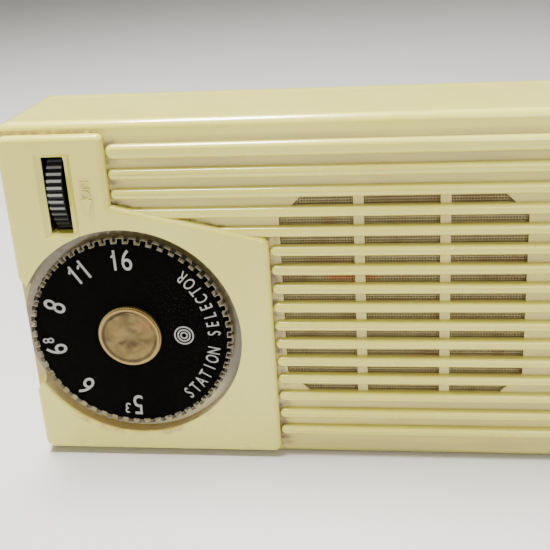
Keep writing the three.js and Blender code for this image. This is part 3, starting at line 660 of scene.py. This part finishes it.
black_wheel = Finish("black wheel plastic", roughness=0.3, specular_ior_level=0.3)
wheel_up = black_wheel.z - wheel_centre.z / mm
wheel_arm = black_wheel.node("CombineXYZ", {}, {"Y": black_wheel.y - wheel_centre.y / mm, "Z": wheel_up})
wheel_out = black_wheel.node("VectorMath", {"operation": "LENGTH"}, {0: wheel_arm}, "Value")
# The ridge tips are painted lighter near the middle of the side that faces out at rest: wear together with a
# painted highlight.
ridge_tips = wheel_out.step((wheel_radius - 0.3 * mm) / mm, (wheel_radius - 0.05 * mm) / mm)
wear_and_painted_highlight = 0.08 + 0.8 * abs(wheel_up - 1).step(5.2, 3)
wheel_color = black_wheel.mix(black_wheel.noise(1.5, 3), (0.003, 0.003, 0.003), (0.009, 0.009, 0.009))
black_wheel.set("Base Color", black_wheel.mix(ridge_tips * wear_and_painted_highlight, wheel_color, (0.30, 0.29, 0.28)))
black_wheel.set("Roughness", 0.24 + 0.2 * black_wheel.noise(2.5, 4, seed=1))
black_wheel.rough_surface(black_wheel.noise(0.6, 3, seed=2), 0.01)
attach(wheel, black_wheel, "wheel", "volume_wheel", slot="black_plastic")


# Tuning dial: a clear acrylic disc with a notched rim, painted black behind its middle.
# It is stamped from sheet, so its edges are crisp. The outer sides of its teeth are painted dark on the upper
# half only, as dirt together with painted shade.
# The paint reaches between the notches, and its front lies just under the disc's face.
notches = 54
notch_width = 1 * mm
notch_depth = 1 * mm


def round_the_dial(cutter):
    """One cutter repeated at every notch of the dial."""
    choose(cutter, "FACE", lambda face: True)
    bpy.ops.mesh.spin(steps=notches, dupli=True, angle=2 * math.pi, center=dial_centre, axis=(0, 1, 0))
    bpy.ops.object.mode_set(mode="OBJECT")
    use_modifier(cutter, "WELD", merge_threshold=0.01 * mm)
    return cutter


dial_start = Vector((dial_centre.x, dial_low.y, dial_centre.z))
dial = round_bar("dial_disc", "Y", dial_start, dial_high.y - dial_low.y, dial_radius, 4 * notches)
cutter = block(
    "notch_cutter",
    Vector((dial_centre.x + dial_radius - notch_depth, dial_low.y - mm, dial_centre.z - notch_width / 2)),
    Vector((dial_centre.x + dial_radius + mm, dial_high.y + mm, dial_centre.z + notch_width / 2)),
)
carve(dial, round_the_dial(cutter))
break_edges(dial, 0.12 * mm, 40)
smooth(dial, 30)

clear = Finish("clear acrylic", roughness=0.08, ior=1.3)
rim = (dial_radius - notch_depth) / mm
out = from_axis(clear, dial_centre)
depth = clear.y - dial_low.y / mm
speck = clear.noise(0.7, 3)
on_rim = out.step(rim - 0.2, rim - 0.02)
# A thin pale line along the front edge of the teeth is a painted highlight, mixed in almost opaque.
painted_edge_highlight = on_rim * depth.step(0.0, 0.03) * depth.step(0.2, 0.12)
frosted = on_rim * depth.step(0.1, 0.18)
outer_side = out.step(rim + 0.7, rim + 0.9)
rim_color = clear.mix(speck.step(0.35, 0.65), (0.50, 0.43, 0.30), (0.76, 0.71, 0.58))
# The teeth's outer sides on the upper half are painted dark: dirt together with painted shade.
rim_color = clear.mix(outer_side * clear.z.step(20, 30) * 0.8, rim_color, (0.16, 0.12, 0.07))
rim_color = clear.mix(painted_edge_highlight, rim_color, (0.80, 0.77, 0.64))
clear.set("Base Color", rim_color)
pass_through = clear.node("BsdfTransparent", {}, {"Color": (0.97, 0.96, 0.93, 1)})
edge_gloss = clear.node("Fresnel", {}, {"IOR": 1.16})
share = (edge_gloss * 0.3 + painted_edge_highlight * 0.85 + frosted * (0.75 + 0.25 * speck)).min(1)
body = Value(clear, clear.shader.outputs[0])
both = clear.node("MixShader", {}, {0: share, 1: pass_through, 2: body})
clear.tree.links.new(both.socket, clear.tree.nodes["Material Output"].inputs["Surface"])
attach(dial, clear, "dial", "tuning_dial", slot="clear_plastic")

face_low, face_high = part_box("dial_face")
print_plane = dial_low.y + 0.1 * mm
core_radius = dial_radius - notch_depth - 0.04 * mm
paint_start = Vector((dial_centre.x, print_plane, dial_centre.z))
paint = round_bar("dial_paint", "Y", paint_start, face_high.y - print_plane, core_radius, 160)
paint_start.y += 0.5 * mm
teeth_radius = (face_high.x - face_low.x) / 2 - 0.2 * mm
teeth = round_bar("teeth", "Y", paint_start, face_high.y - paint_start.y, teeth_radius, 160)
gap_low = Vector((dial_centre.x + core_radius - 0.02 * mm, print_plane - mm, dial_centre.z - notch_width / 2))
gap_high = Vector((dial_centre.x + dial_radius + mm, face_high.y + mm, dial_centre.z + notch_width / 2))
gaps = block("gaps", gap_low, gap_high)
gaps = round_the_dial(gaps)
carve(paint, teeth, "UNION")
carve(paint, gaps)
break_edges(paint, 0.05 * mm, 40)
smooth(paint, 30)
black_paint = Finish("black dial paint", roughness=0.4, specular_ior_level=0.02)
paint_noise = black_paint.noise(3, 3)
paint_color = black_paint.mix(paint_noise, (0.0002, 0.0002, 0.0002), (0.0006, 0.0006, 0.0006))
black_paint.set("Base Color", paint_color)
black_paint.set("Roughness", 0.35 + 0.1 * black_paint.noise(0.8, 2, seed=1))
attach(paint, black_paint, "dial", "dial_face", slot="black_plastic")


# Numerals and words on the dial are printed in silver-white before the black goes on.
# The numerals are the broadcast band in hundreds of kilohertz, with a ring as a plain mark.
def on_dial(angle, radius):
    """A point of the printed face. Angles run anticlockwise from the right, seen from the front."""
    reach = Vector((math.cos(angle), 0, math.sin(angle))) * radius
    return Vector((dial_centre.x, print_plane - 0.03 * mm, dial_centre.z)) + reach


print_thickness = 0.04 * mm
numerals = [
    ("16", 90.8, 14.9, 5.8), ("11", 122.7, 15.0, 5.8), ("8", 157.3, 15.0, 6.1), ("8", 184.7, 16.3, 3.2),
    ("6", 192.2, 15.1, 6.1), ("6", 227.6, 14.9, 6.1), ("3", 261.1, 16.0, 3.2), ("5", 268.8, 15.0, 6.1),
]
printed = []
for digits, angle, radius, size in numerals:
    facing = math.radians(angle - 90)
    middle = on_dial(math.radians(angle), radius * mm)
    printed.append(lettering(digits, middle, size * mm, facing, print_thickness, 0.78))
for angle, radius in ((96.6, 16.3), (129.2, 16.6), (122.0, 16.4)):
    facing = math.radians(angle - 50)
    middle = on_dial(math.radians(angle), radius * mm)
    printed.append(lettering("-", middle, 4.1 * mm, facing, print_thickness, 0.8))
words = "STATION SELECTOR"
words_start = -51
words_end = 47
for count, letter in enumerate(words):
    angle = words_start + (words_end - words_start) * count / (len(words) - 1)
    if letter != " ":
        middle = on_dial(math.radians(angle), 16.1 * mm)
        facing = math.radians(angle + 90)
        printed.append(lettering(letter, middle, 3.5 * mm, facing, print_thickness, 0.62))
for radius in (0.6, 1.15, 1.75):
    bpy.ops.object.select_all(action="DESELECT")
    bpy.ops.mesh.primitive_torus_add(
        location=on_dial(math.radians(-0.7), 10.2 * mm), rotation=turns["Y"],
        major_radius=radius * mm, minor_radius=0.14 * mm, major_segments=48, minor_segments=8,
    )
    bpy.context.object.scale.z = 0.15
    printed.append(settle())
dial_print = joined(printed, "dial_print")
silver_ink = Finish("silver-white ink", roughness=0.45)
silver_ink.set("Base Color", silver_ink.mix(silver_ink.noise(0.7, 3), (0.30, 0.30, 0.31), (0.55, 0.55, 0.56)))
attach(dial_print, silver_ink, "dial", slot="white_plastic")


# Brass cap on the dial's shaft: turned, knurled round its side and lacquered.
# A thin foil disc in its face has creased into folds that run out from the middle.
cap_low, cap_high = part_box("dial_cap")
cap_radius = (cap_high.x - cap_low.x) / 2
cap_front = cap_low.y
cap_back = dial_low.y - 0.05 * mm
knurls = 72
cap_flange = 0.35 * mm
flange_start = Vector((dial_centre.x, cap_front + cap_flange, dial_centre.z))
flange_length = cap_back - cap_front - cap_flange
cap = round_bar("brass_cap", "Y", flange_start, flange_length, cap_radius + cap_flange, 2 * knurls)
for corner in cap.data.vertices:
    arm = (corner.co - dial_centre) * Vector((1, 0, 1))
    part = round(math.atan2(arm.z, arm.x) / math.pi * knurls)
    if part % 2:
        corner.co -= arm.normalized() * 0.14 * mm
choose(cap, "FACE", lambda face: face.normal.y < -0.5)
bpy.ops.mesh.inset(thickness=0.22 * mm)
bpy.ops.mesh.extrude_region_move(TRANSFORM_OT_translate={"value": (0, -cap_flange, 0)})
bpy.ops.mesh.inset(thickness=0.1 * mm)
bpy.ops.mesh.inset(thickness=0.18 * mm)
bpy.ops.mesh.inset(thickness=0.08 * mm, depth=-0.08 * mm)
for _ in range(6):
    bpy.ops.mesh.inset(thickness=0.75 * mm)
bpy.ops.object.mode_set(mode="OBJECT")
smooth(cap, 28)

brass = Finish("lacquered brass", metallic=1.0, coat_weight=0.4, coat_roughness=0.15)
across = brass.x - dial_centre.x / mm
up = brass.z - dial_centre.z / mm
out = from_axis(brass, dial_centre)
turn = brass.node("Math", {"operation": "ARCTAN2"}, {0: up, 1: across})
fan = {"X": turn.math("COSINE", turn), "Y": turn.math("SINE", turn), "Z": out * 0.2}
folds = brass.node("TexNoise", {}, {"Vector": brass.node("CombineXYZ", {}, fan), "Scale": 1, "Detail": 1.2})
blotches = brass.noise(2.2, 4)
brass_color = brass.mix(blotches.step(0.3, 0.7), (0.12, 0.08, 0.022), (0.22, 0.155, 0.048))
reddish = across.step(0.5, 3) * up.step(0, 2.5) * brass.noise(1.6, 3, seed=2).step(0.4, 0.65)
brass_color = brass.mix(reddish * 0.6, brass_color, (0.30, 0.13, 0.05))
rim_ring = out.step(5.3, 5.4)
brass_color = brass.mix(rim_ring * 0.8, brass_color, (0.38, 0.27, 0.09))
brass.set("Base Color", brass_color)
brass.set("Roughness", 0.3 + 0.2 * blotches)
inside = out.step(5.3, 4.6) * out.step(0.3, 2.6)
brass.rough_surface(folds * inside + 0.02 * brass.noise(0.5, 3, seed=1), 1)
attach(cap, brass, "dial", "dial_cap", slot="brass")


# Woven brass mesh behind the grille: flat crimped wires that pass over and under each other.
# The sheet's corners are cut like the grille's, and it is clamped in the pocket behind the face.
mesh_low, mesh_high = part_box("grille_mesh")
mesh_pitch = 0.5 * mm
wire = 0.2 * mm
mesh_middle = (mesh_low.y + mesh_high.y) / 2
mesh_metal = Finish("tarnished brass mesh", roughness=0.5, metallic=0.3)
rust = mesh_metal.noise(6, 3).step(0.52, 0.66)
mesh_color = mesh_metal.mix(mesh_metal.noise(1.2, 3, seed=1), (0.36, 0.28, 0.12), (0.60, 0.50, 0.26))
orange_row = abs(mesh_metal.z - 38).step(2, 1) * mesh_metal.noise(9, 2, (1, 1, 0.1), seed=3).step(0.5, 0.6)
mesh_color = mesh_metal.mix(orange_row * 0.7, mesh_color, (0.62, 0.19, 0.04))
mesh_metal.set("Base Color", mesh_metal.mix(rust * 0.4, mesh_color, (0.30, 0.13, 0.05)))


def wires(name, along, across, swing):
    """Parallel crimped wires along one direction of the sheet, over and under those across it."""
    axis, other = "XYZ".index(along), "XYZ".index(across)
    half = Vector((wire / 2, wire / 2, wire / 2))
    start = mesh_low.copy()
    start.y = mesh_middle - swing / 2
    end = start.copy()
    end[axis] += mesh_pitch
    made = block(name, start - half, end + half)
    middle = (start[axis] + end[axis]) / 2
    for corner in made.data.vertices:
        ahead = corner.co[axis] > middle
        corner.co[axis] = end[axis] if ahead else start[axis]
        if ahead:
            corner.co.y += swing
    choose(made, "FACE", lambda face: abs(face.normal[axis]) > 0.5)
    bpy.ops.mesh.delete(type="ONLY_FACE")
    bpy.ops.object.mode_set(mode="OBJECT")
    pivot = Vector((0, mesh_middle, 0))
    pivot[axis] = end[axis]
    twin = made.copy()
    twin.data = made.data.copy()
    bpy.context.scene.collection.objects.link(twin)
    for corner in twin.data.vertices:
        corner.co[axis] = 2 * end[axis] - corner.co[axis]
    twin.data.flip_normals()
    made = joined([made, twin], name)
    length = mesh_high[axis] - mesh_low[axis]
    step = [0, 0, 0]
    step[axis] = 2 * mesh_pitch
    use_modifier(made, "ARRAY", count=math.ceil(length / (2 * mesh_pitch)), use_relative_offset=False,
                 use_constant_offset=True, constant_offset_displace=step, use_merge_vertices=True,
                 merge_threshold=0.005 * mm)
    opposite = made.copy()
    opposite.data = made.data.copy()
    bpy.context.scene.collection.objects.link(opposite)
    for corner in opposite.data.vertices:
        corner.co.y = 2 * mesh_middle - corner.co.y
        corner.co[other] += mesh_pitch
    opposite.data.flip_normals()
    made = joined([made, opposite], name)
    breadth = mesh_high[other] - mesh_low[other]
    step = [0, 0, 0]
    step[other] = 2 * mesh_pitch
    use_modifier(made, "ARRAY", count=math.floor(breadth / (2 * mesh_pitch)), use_relative_offset=False,
                 use_constant_offset=True, constant_offset_displace=step)
    sheet = (mesh_low + mesh_high) / 2
    for side_x in (-1, 1):
        choose(made, "FACE", lambda face: True)
        edge = Vector((side_x * (mesh_high.x - mesh_low.x) / 2, 0, 0))
        bpy.ops.mesh.bisect(plane_co=sheet + edge, plane_no=(side_x, 0, 0), clear_outer=True)
        for side_z in (-1, 1):
            bpy.ops.mesh.select_all(action="SELECT")
            edge.z = side_z * ((mesh_high.z - mesh_low.z) / 2 - grille_corner)
            bpy.ops.mesh.bisect(plane_co=sheet + edge, plane_no=(side_x, 0, side_z), clear_outer=True)
        bpy.ops.object.mode_set(mode="OBJECT")
    smooth(made, 50)
    return made


mesh_along = wires("mesh_wires_along", "X", "Z", 0.1 * mm)
attach(mesh_along, mesh_metal, "case", "grille_mesh", slot="grille_mesh")
mesh_up = wires("mesh_wires_up", "Z", "X", -0.1 * mm)
attach(mesh_up, mesh_metal, "case", slot="grille_mesh")


# Rear half of the case: a shallow moulded lid of the same cream plastic, with rounded back edges.
# A tongue inside its rim locates it in the front half, and its coin screw sits in a round pocket.
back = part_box("back_cover")[1].y
seam = parting + 0.3 * mm
rear_cover = case_outline("rear_cover", seam, back, 0, corner_radius)
round_edges(rear_cover, in_plane_y(back), 2 * mm, 8)
tongue_inset = wall + 0.3 * mm
tongue = case_outline("tongue", seam - 1.8 * mm, seam + 0.3 * mm, tongue_inset, 2.2 * mm)
carve(rear_cover, tongue, "UNION")
carve(rear_cover, case_outline("lid_hollow", seam - 3 * mm, back - 1.5 * mm, tongue_inset + mm, 1.25 * mm))
pocket_start = middle_of("cover_screw")
pocket_start.y = back - 3.8 * mm
carve(rear_cover, round_bar("pocket_boss", "Y", pocket_start, 2.6 * mm, 6.4 * mm), "UNION")
pocket_start.y = back - 1.8 * mm
carve(rear_cover, round_bar("pocket", "Y", pocket_start, 4 * mm, 4.8 * mm))
pocket_start.y = parting
carve(rear_cover, round_bar("screw_hole", "Y", pocket_start, 8 * mm, 1.7 * mm, 48))
break_edges(rear_cover, 0.15 * mm, 50)
smooth(rear_cover, 32)
attach(rear_cover, cream, "cover", "back_cover", slot="cream_plastic")


# Turned brass parts: the cover's coin screw with its insert, the dial's shaft and the wheel's screw.
# They are turned from bar, and their edges are broken.
def finer(node, name, width, segments=2, angle=32):
    """A copy of a plain part with its triangles merged and its edges broken by the width."""
    made = bpy.data.objects.new(name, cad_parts[node].data.copy())
    bpy.context.scene.collection.objects.link(made)
    choose(made, "FACE", lambda face: True)
    bpy.ops.mesh.select_all(action="SELECT")
    bpy.ops.mesh.remove_doubles(threshold=0.002 * mm)
    bpy.ops.mesh.dissolve_limited(angle_limit=math.radians(1))
    bpy.ops.object.mode_set(mode="OBJECT")
    if width:
        break_edges(made, width, angle, segments)
    smooth(made, angle)
    return made


plain_brass = Finish("turned brass", metallic=1.0)
brass_wear = plain_brass.noise(2, 4)
plain_brass.set("Base Color", plain_brass.mix(brass_wear, (0.52, 0.36, 0.13), (0.74, 0.56, 0.26)))
plain_brass.set("Roughness", 0.22 + 0.25 * plain_brass.noise(1, 3, seed=1))
tool_marks = from_axis(plain_brass, middle_of("cover_screw"))
plain_brass.rough_surface(tool_marks.math("SINE", tool_marks * 30) * 0.5 + brass_wear, 0.01)
attach(finer("cover_screw", "coin_screw", 0.12 * mm, 3), plain_brass, "screw", "cover_screw", slot="brass")
attach(finer("screw_insert", "threaded_insert", 0.08 * mm), plain_brass, "case", "screw_insert", slot="brass")
attach(finer("tuning_shaft", "dial_shaft", 0.2 * mm), plain_brass, "dial", "tuning_shaft", slot="brass")
attach(finer("wheel_screw", "wheel_hub_screw", 0.1 * mm), plain_brass, "wheel", "wheel_screw", slot="brass")


# Zinc-plated steel: the loudspeaker's clips, the volume control with its bracket, and all pan-head screws.
# The sheet parts have broken edges, and the screws' heads are rounded.
zinc = Finish("zinc plated steel", metallic=1.0)
zinc_cloud = zinc.noise(3, 4)
zinc.set("Base Color", zinc.mix(zinc_cloud, (0.44, 0.44, 0.43), (0.66, 0.66, 0.64)))
zinc.set("Roughness", 0.25 + 0.3 * zinc.noise(1.5, 4, seed=1))
zinc.rough_surface(zinc.noise(0.8, 3, seed=2), 0.015)
steel_parts = {
    "speaker_clip_1": 0.1, "speaker_clip_2": 0.1, "volume_pot": 0.35, "pot_bracket": 0.12,
    "board_screw_1": 0.15, "board_screw_2": 0.15, "board_screw_3": 0.15,
    "clip_screw_1": 0.15, "clip_screw_2": 0.15,
}
for node, rounding in steel_parts.items():
    attach(finer(node, node + "_steel", rounding * mm), zinc, "case", node, slot="steel")


# Loudspeaker: a black-enamelled steel basket, a cone and dust cap of black-brown paper, and a cast magnet.
# Rings pressed into the cone run round it.
# The basket's black is enamel and also painted shade: it keeps the grille's holes dark.
black_enamel_and_painted_shade = Finish("black enamel", roughness=0.5, specular_ior_level=0.25)
enamel_wear = black_enamel_and_painted_shade.noise(2, 4)
black_enamel_and_painted_shade.set("Base Color", black_enamel_and_painted_shade.mix(enamel_wear, (0.008, 0.008, 0.008), (0.025, 0.024, 0.022)))
black_enamel_and_painted_shade.rough_surface(black_enamel_and_painted_shade.noise(0.6, 3, seed=1), 0.015)
attach(finer("speaker_frame", "speaker_basket", 0.1 * mm), black_enamel_and_painted_shade, "case", "speaker_frame", slot="steel")
speaker_centre = middle_of("speaker_frame")
paper = Finish("speaker paper", roughness=0.9, specular_ior_level=0.2)
fibre = paper.noise(0.4, 4)
paper.set("Base Color", paper.mix(fibre, (0.012, 0.010, 0.008), (0.05, 0.042, 0.034)))
rings = from_axis(paper, speaker_centre)
paper.rough_surface(rings.math("SINE", rings * 4) + 0.4 * fibre, 0.12)
attach(finer("speaker_cone", "paper_cone", 0), paper, "case", "speaker_cone", slot="speaker_paper")
attach(finer("dust_cap", "paper_dust_cap", 0.1 * mm), paper, "case", "dust_cap", slot="speaker_paper")
iron = Finish("cast magnet", metallic=0.7)
iron_cloud = iron.noise(2.5, 4)
iron.set("Base Color", iron.mix(iron_cloud, (0.12, 0.115, 0.11), (0.24, 0.23, 0.22)))
iron.set("Roughness", 0.45 + 0.25 * iron_cloud)
iron.rough_surface(iron.noise(0.7, 4, seed=1), 0.05)
attach(finer("speaker_magnet", "round_magnet", 0.25 * mm, 3), iron, "case", "speaker_magnet", slot="magnet")


# Circuit board of brown phenolic paper laminate. Its front has copper tracks under a thin varnish.
# Its cut edge shows the layers of paper.
board_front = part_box("circuit_board")[0].y / mm
laminate = Finish("phenolic board", roughness=0.4, coat_weight=0.2)
weave = laminate.noise(0.7, 4)
layers = laminate.noise(0.3, 2, (0.02, 1, 0.02), seed=1)
board_color = laminate.mix(0.5 * weave + 0.5 * layers, (0.30, 0.155, 0.055), (0.46, 0.27, 0.11))
track_noise = laminate.noise(6, 0, (1, 0.001, 1), seed=2)
tracks = abs(track_noise - 0.5).step(0.06, 0.05)
on_front = laminate.y.step(board_front + 0.06, board_front + 0.02)
board_color = laminate.mix(tracks * on_front, board_color, (0.62, 0.33, 0.16))
laminate.set("Base Color", board_color)
laminate.set("Metallic", tracks * on_front * 0.8)
laminate.rough_surface(weave, 0.02)
wiring_board = finer("circuit_board", "wiring_board", 0.06 * mm)
attach(wiring_board, laminate, "case", "circuit_board", slot="phenolic_board")


# White moulded parts: the tuning capacitor in its milky cover and the two clips of the aerial rod.
# A foil pack shows faintly through the capacitor's cover as thin lines.
milky = Finish("milky plastic", roughness=0.3, coat_weight=0.3)
plates = milky.noise(0.5, 1, (0.02, 1, 0.02))
milky_color = milky.mix(plates.step(0.45, 0.6) * 0.4, (0.72, 0.70, 0.62), (0.48, 0.46, 0.40))
yellowed = milky.noise(4, 3, seed=1).step(0.5, 0.8)
milky.set("Base Color", milky.mix(yellowed * 0.3, milky_color, (0.50, 0.40, 0.22)))
milky.rough_surface(milky.noise(3, 2, seed=2), 0.02)
capacitor = finer("tuning_capacitor", "variable_capacitor", 0.5 * mm, 4)
attach(capacitor, milky, "case", "tuning_capacitor", slot="white_plastic")
for node in ("rod_clip_1", "rod_clip_2"):
    attach(finer(node, node + "_moulded", 0.25 * mm, 3), milky, "case", node, slot="white_plastic")


# Drawn aluminium cans of the four coils and the six transistors.
# Coloured adjusting cores look out of the coils' tops.
aluminium = Finish("drawn aluminium", metallic=1.0)
brushed = aluminium.noise(1.2, 4, (1, 0.08, 1))
aluminium.set("Base Color", aluminium.mix(brushed, (0.62, 0.63, 0.64), (0.82, 0.83, 0.84)))
aluminium.set("Roughness", 0.25 + 0.25 * brushed)
aluminium.rough_surface(brushed, 0.012)
coils = ("oscillator_coil", "if_transformer_1", "if_transformer_2", "if_transformer_3")
core_colors = ((0.45, 0.03, 0.02), (0.75, 0.55, 0.03), (0.72, 0.72, 0.68), (0.02, 0.02, 0.02))
for node, core_color in zip(coils, core_colors):
    can = finer(node, node + "_can", 0.5 * mm, 4)
    attach(can, aluminium, "case", node, slot="can_aluminium")
    core_start = middle_of(node)
    core_start.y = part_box(node)[1].y - 1.15 * mm
    core = round_bar(node + "_core", "Y", core_start, 0.8 * mm, 1.4 * mm, 48)
    choose(core, "FACE", lambda face: face.normal.y > 0.5)
    bpy.ops.mesh.inset(thickness=0.5 * mm)
    bpy.ops.mesh.inset(thickness=0.15 * mm, depth=-0.3 * mm)
    bpy.ops.object.mode_set(mode="OBJECT")
    smooth(core, 30)
    core_paint = Finish(node + " core", roughness=0.5)
    dusty = core_paint.noise(0.6, 3)
    core_paint.set("Base Color", core_paint.mix(dusty * 0.4, core_color, (0.4, 0.38, 0.33)))
    attach(core, core_paint, "case", slot="black_plastic")
for number in range(1, 7):
    node = f"transistor_{number}"
    attach(finer(node, node + "_can", 0.2 * mm, 3), aluminium, "case", node, slot="can_aluminium")


# Two small transformers: iron laminations round a bobbin that is wrapped in yellow tape.
# The laminations show as fine lines, and the tape in the middle of each.
for node in ("driver_transformer", "output_transformer"):
    tape_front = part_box(node)[0].y / mm + 8
    laminations = Finish(node + " iron and tape", roughness=0.5)
    sheets = laminations.noise(0.35, 1, (0.01, 1, 0.01))
    iron_color = laminations.mix(sheets.step(0.4, 0.6), (0.09, 0.085, 0.08), (0.24, 0.23, 0.21))
    tape = laminations.y.step(tape_front, tape_front + 0.05)
    taped = laminations.mix(laminations.noise(1.5, 3, seed=1), (0.62, 0.47, 0.12), (0.74, 0.60, 0.22))
    laminations.set("Base Color", laminations.mix(tape, iron_color, taped))
    laminations.set("Metallic", 0.6 - 0.6 * tape)
    laminations.rough_surface(sheets, 0.05)
    attach(finer(node, node + "_wound", 0.2 * mm), laminations, "case", node, slot="laminated_iron")


# Electrolytic capacitors in shrunk blue sleeves. The aluminium end shows on top of each.
# A white stripe runs down one side.
for number in range(1, 4):
    node = f"electrolytic_{number}"
    low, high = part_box(node)
    axis = (low + high) / 2
    sleeve = Finish(node + " sleeve", roughness=0.35, coat_weight=0.2)
    out = from_axis(sleeve, axis)
    open_end = out.step(2.35, 2.2) * sleeve.y.step(high.y / mm - 0.1, high.y / mm - 0.04)
    stripe = abs(sleeve.x - axis.x / mm).step(0.7, 0.6) * sleeve.z.step(axis.z / mm, axis.z / mm - 0.5)
    blue = sleeve.mix(sleeve.noise(2, 3), (0.018, 0.06, 0.19), (0.03, 0.095, 0.26))
    blue = sleeve.mix(stripe, blue, (0.62, 0.64, 0.66))
    sleeve.set("Base Color", sleeve.mix(open_end, blue, (0.7, 0.7, 0.7)))
    sleeve.set("Metallic", open_end)
    sleeve.rough_surface(sleeve.noise(1.4, 3, seed=1), 0.02)
    attach(finer(node, node + "_sleeved", 0.35 * mm, 4), sleeve, "case", node, slot="blue_sleeve")


# Carbon resistors lying on the board: brown lacquered rods with four bands for their values.
# The bands are red, violet, orange and gold in different orders.
band_colors = {
    "resistor_1": ((0.45, 0.02, 0.01), (0.2, 0.03, 0.35), (0.8, 0.22, 0.01)),
    "resistor_2": ((0.12, 0.05, 0.02), (0.01, 0.01, 0.01), (0.45, 0.02, 0.01)),
    "resistor_3": ((0.75, 0.55, 0.02), (0.2, 0.03, 0.35), (0.45, 0.02, 0.01)),
    "resistor_4": ((0.02, 0.2, 0.05), (0.02, 0.06, 0.4), (0.12, 0.05, 0.02)),
}
for node, colors in band_colors.items():
    low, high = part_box(node)
    lacquer = Finish(node + " lacquer", roughness=0.4, coat_weight=0.3)
    lengthwise = lacquer.x - low.x / mm if high.x - low.x > high.z - low.z else lacquer.z - low.z / mm
    color = lacquer.mix(lacquer.noise(0.8, 3), (0.42, 0.25, 0.12), (0.50, 0.31, 0.16))
    for spot, band in zip((1, 2, 3, 4.6), (*colors, (0.6, 0.42, 0.1))):
        color = lacquer.mix(abs(lengthwise - spot).step(0.3, 0.25), color, band)
    lacquer.set("Base Color", color)
    lacquer.rough_surface(lacquer.noise(0.9, 2, seed=1), 0.02)
    attach(finer(node, node + "_banded", 0.3 * mm, 3, 35), lacquer, "case", node, slot="resistor_body")


# Ferrite rod aerial of dark sintered ceramic, with its coil of fine copper wire.
# The turns show as ridges round the coil.
ferrite = Finish("sintered ferrite", roughness=0.6)
grain = ferrite.noise(0.5, 4)
ferrite.set("Base Color", ferrite.mix(grain, (0.018, 0.017, 0.016), (0.055, 0.052, 0.05)))
ferrite.rough_surface(grain, 0.04)
attach(finer("ferrite_rod", "aerial_rod", 0.3 * mm, 3), ferrite, "case", "ferrite_rod", slot="ferrite")
copper = Finish("enamelled copper wire", metallic=0.8, roughness=0.35)
turns_of_wire = copper.x.math("SINE", copper.x * (2 * math.pi / 0.35))
copper.set("Base Color", copper.mix(turns_of_wire.step(-0.9, 0.3), (0.14, 0.045, 0.015), (0.62, 0.27, 0.10)))
copper.rough_surface(turns_of_wire, 0.06)
aerial_winding = finer("antenna_coil", "aerial_winding", 0.1 * mm)
attach(aerial_winding, copper, "case", "antenna_coil", slot="copper_winding")


# Black moulded parts: the earphone socket in the left end and the battery's snap connector.
# Both have a dull, slightly scratched surface.
moulding = Finish("black moulding", specular_ior_level=0.4)
scratch = moulding.noise(1.5, 5)
moulding.set("Base Color", moulding.mix(scratch, (0.008, 0.008, 0.008), (0.03, 0.029, 0.028)))
moulding.set("Roughness", 0.35 + 0.3 * scratch)
moulding.rough_surface(moulding.noise(0.5, 3, seed=1), 0.015)
earphone_socket = finer("earphone_jack", "earphone_socket", 0.2 * mm, 3)
attach(earphone_socket, moulding, "case", "earphone_jack", slot="black_plastic")
snap_connector = finer("battery_snap", "snap_connector", 0.5 * mm, 4)
attach(snap_connector, moulding, "battery_pack", "battery_snap", slot="black_plastic")


# Square battery with two snap studs, in a printed steel jacket that is crimped at both ends.
# It is red below and cream above, and a dark line parts the two colours.
battery_low, battery_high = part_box("battery")
jacket = Finish("battery jacket", roughness=0.32, coat_weight=0.3)
level = (jacket.z - battery_low.z / mm) / ((battery_high.z - battery_low.z) / mm)
ink = jacket.mix(jacket.noise(3, 4), (0.36, 0.022, 0.018), (0.46, 0.035, 0.028))
ink = jacket.mix(level.step(0.655, 0.665), ink, (0.70, 0.65, 0.50))
ink = jacket.mix(abs(level - 0.66).step(0.018, 0.014), ink, (0.02, 0.02, 0.02))
metal_end = level.step(0.03, 0.025).max(level.step(0.97, 0.975))
jacket.set("Base Color", jacket.mix(metal_end, ink, (0.62, 0.62, 0.61)))
jacket.set("Metallic", metal_end)
jacket.rough_surface(jacket.noise(6, 3, seed=1), 0.05)
square_battery = finer("battery", "square_battery", 0.5 * mm, 4)
attach(square_battery, jacket, "battery_pack", "battery", slot="battery_jacket")
for node in ("battery_terminal_1", "battery_terminal_2"):
    attach(finer(node, node + "_stud", 0.4 * mm, 4), zinc, "battery_pack", node, slot="steel")
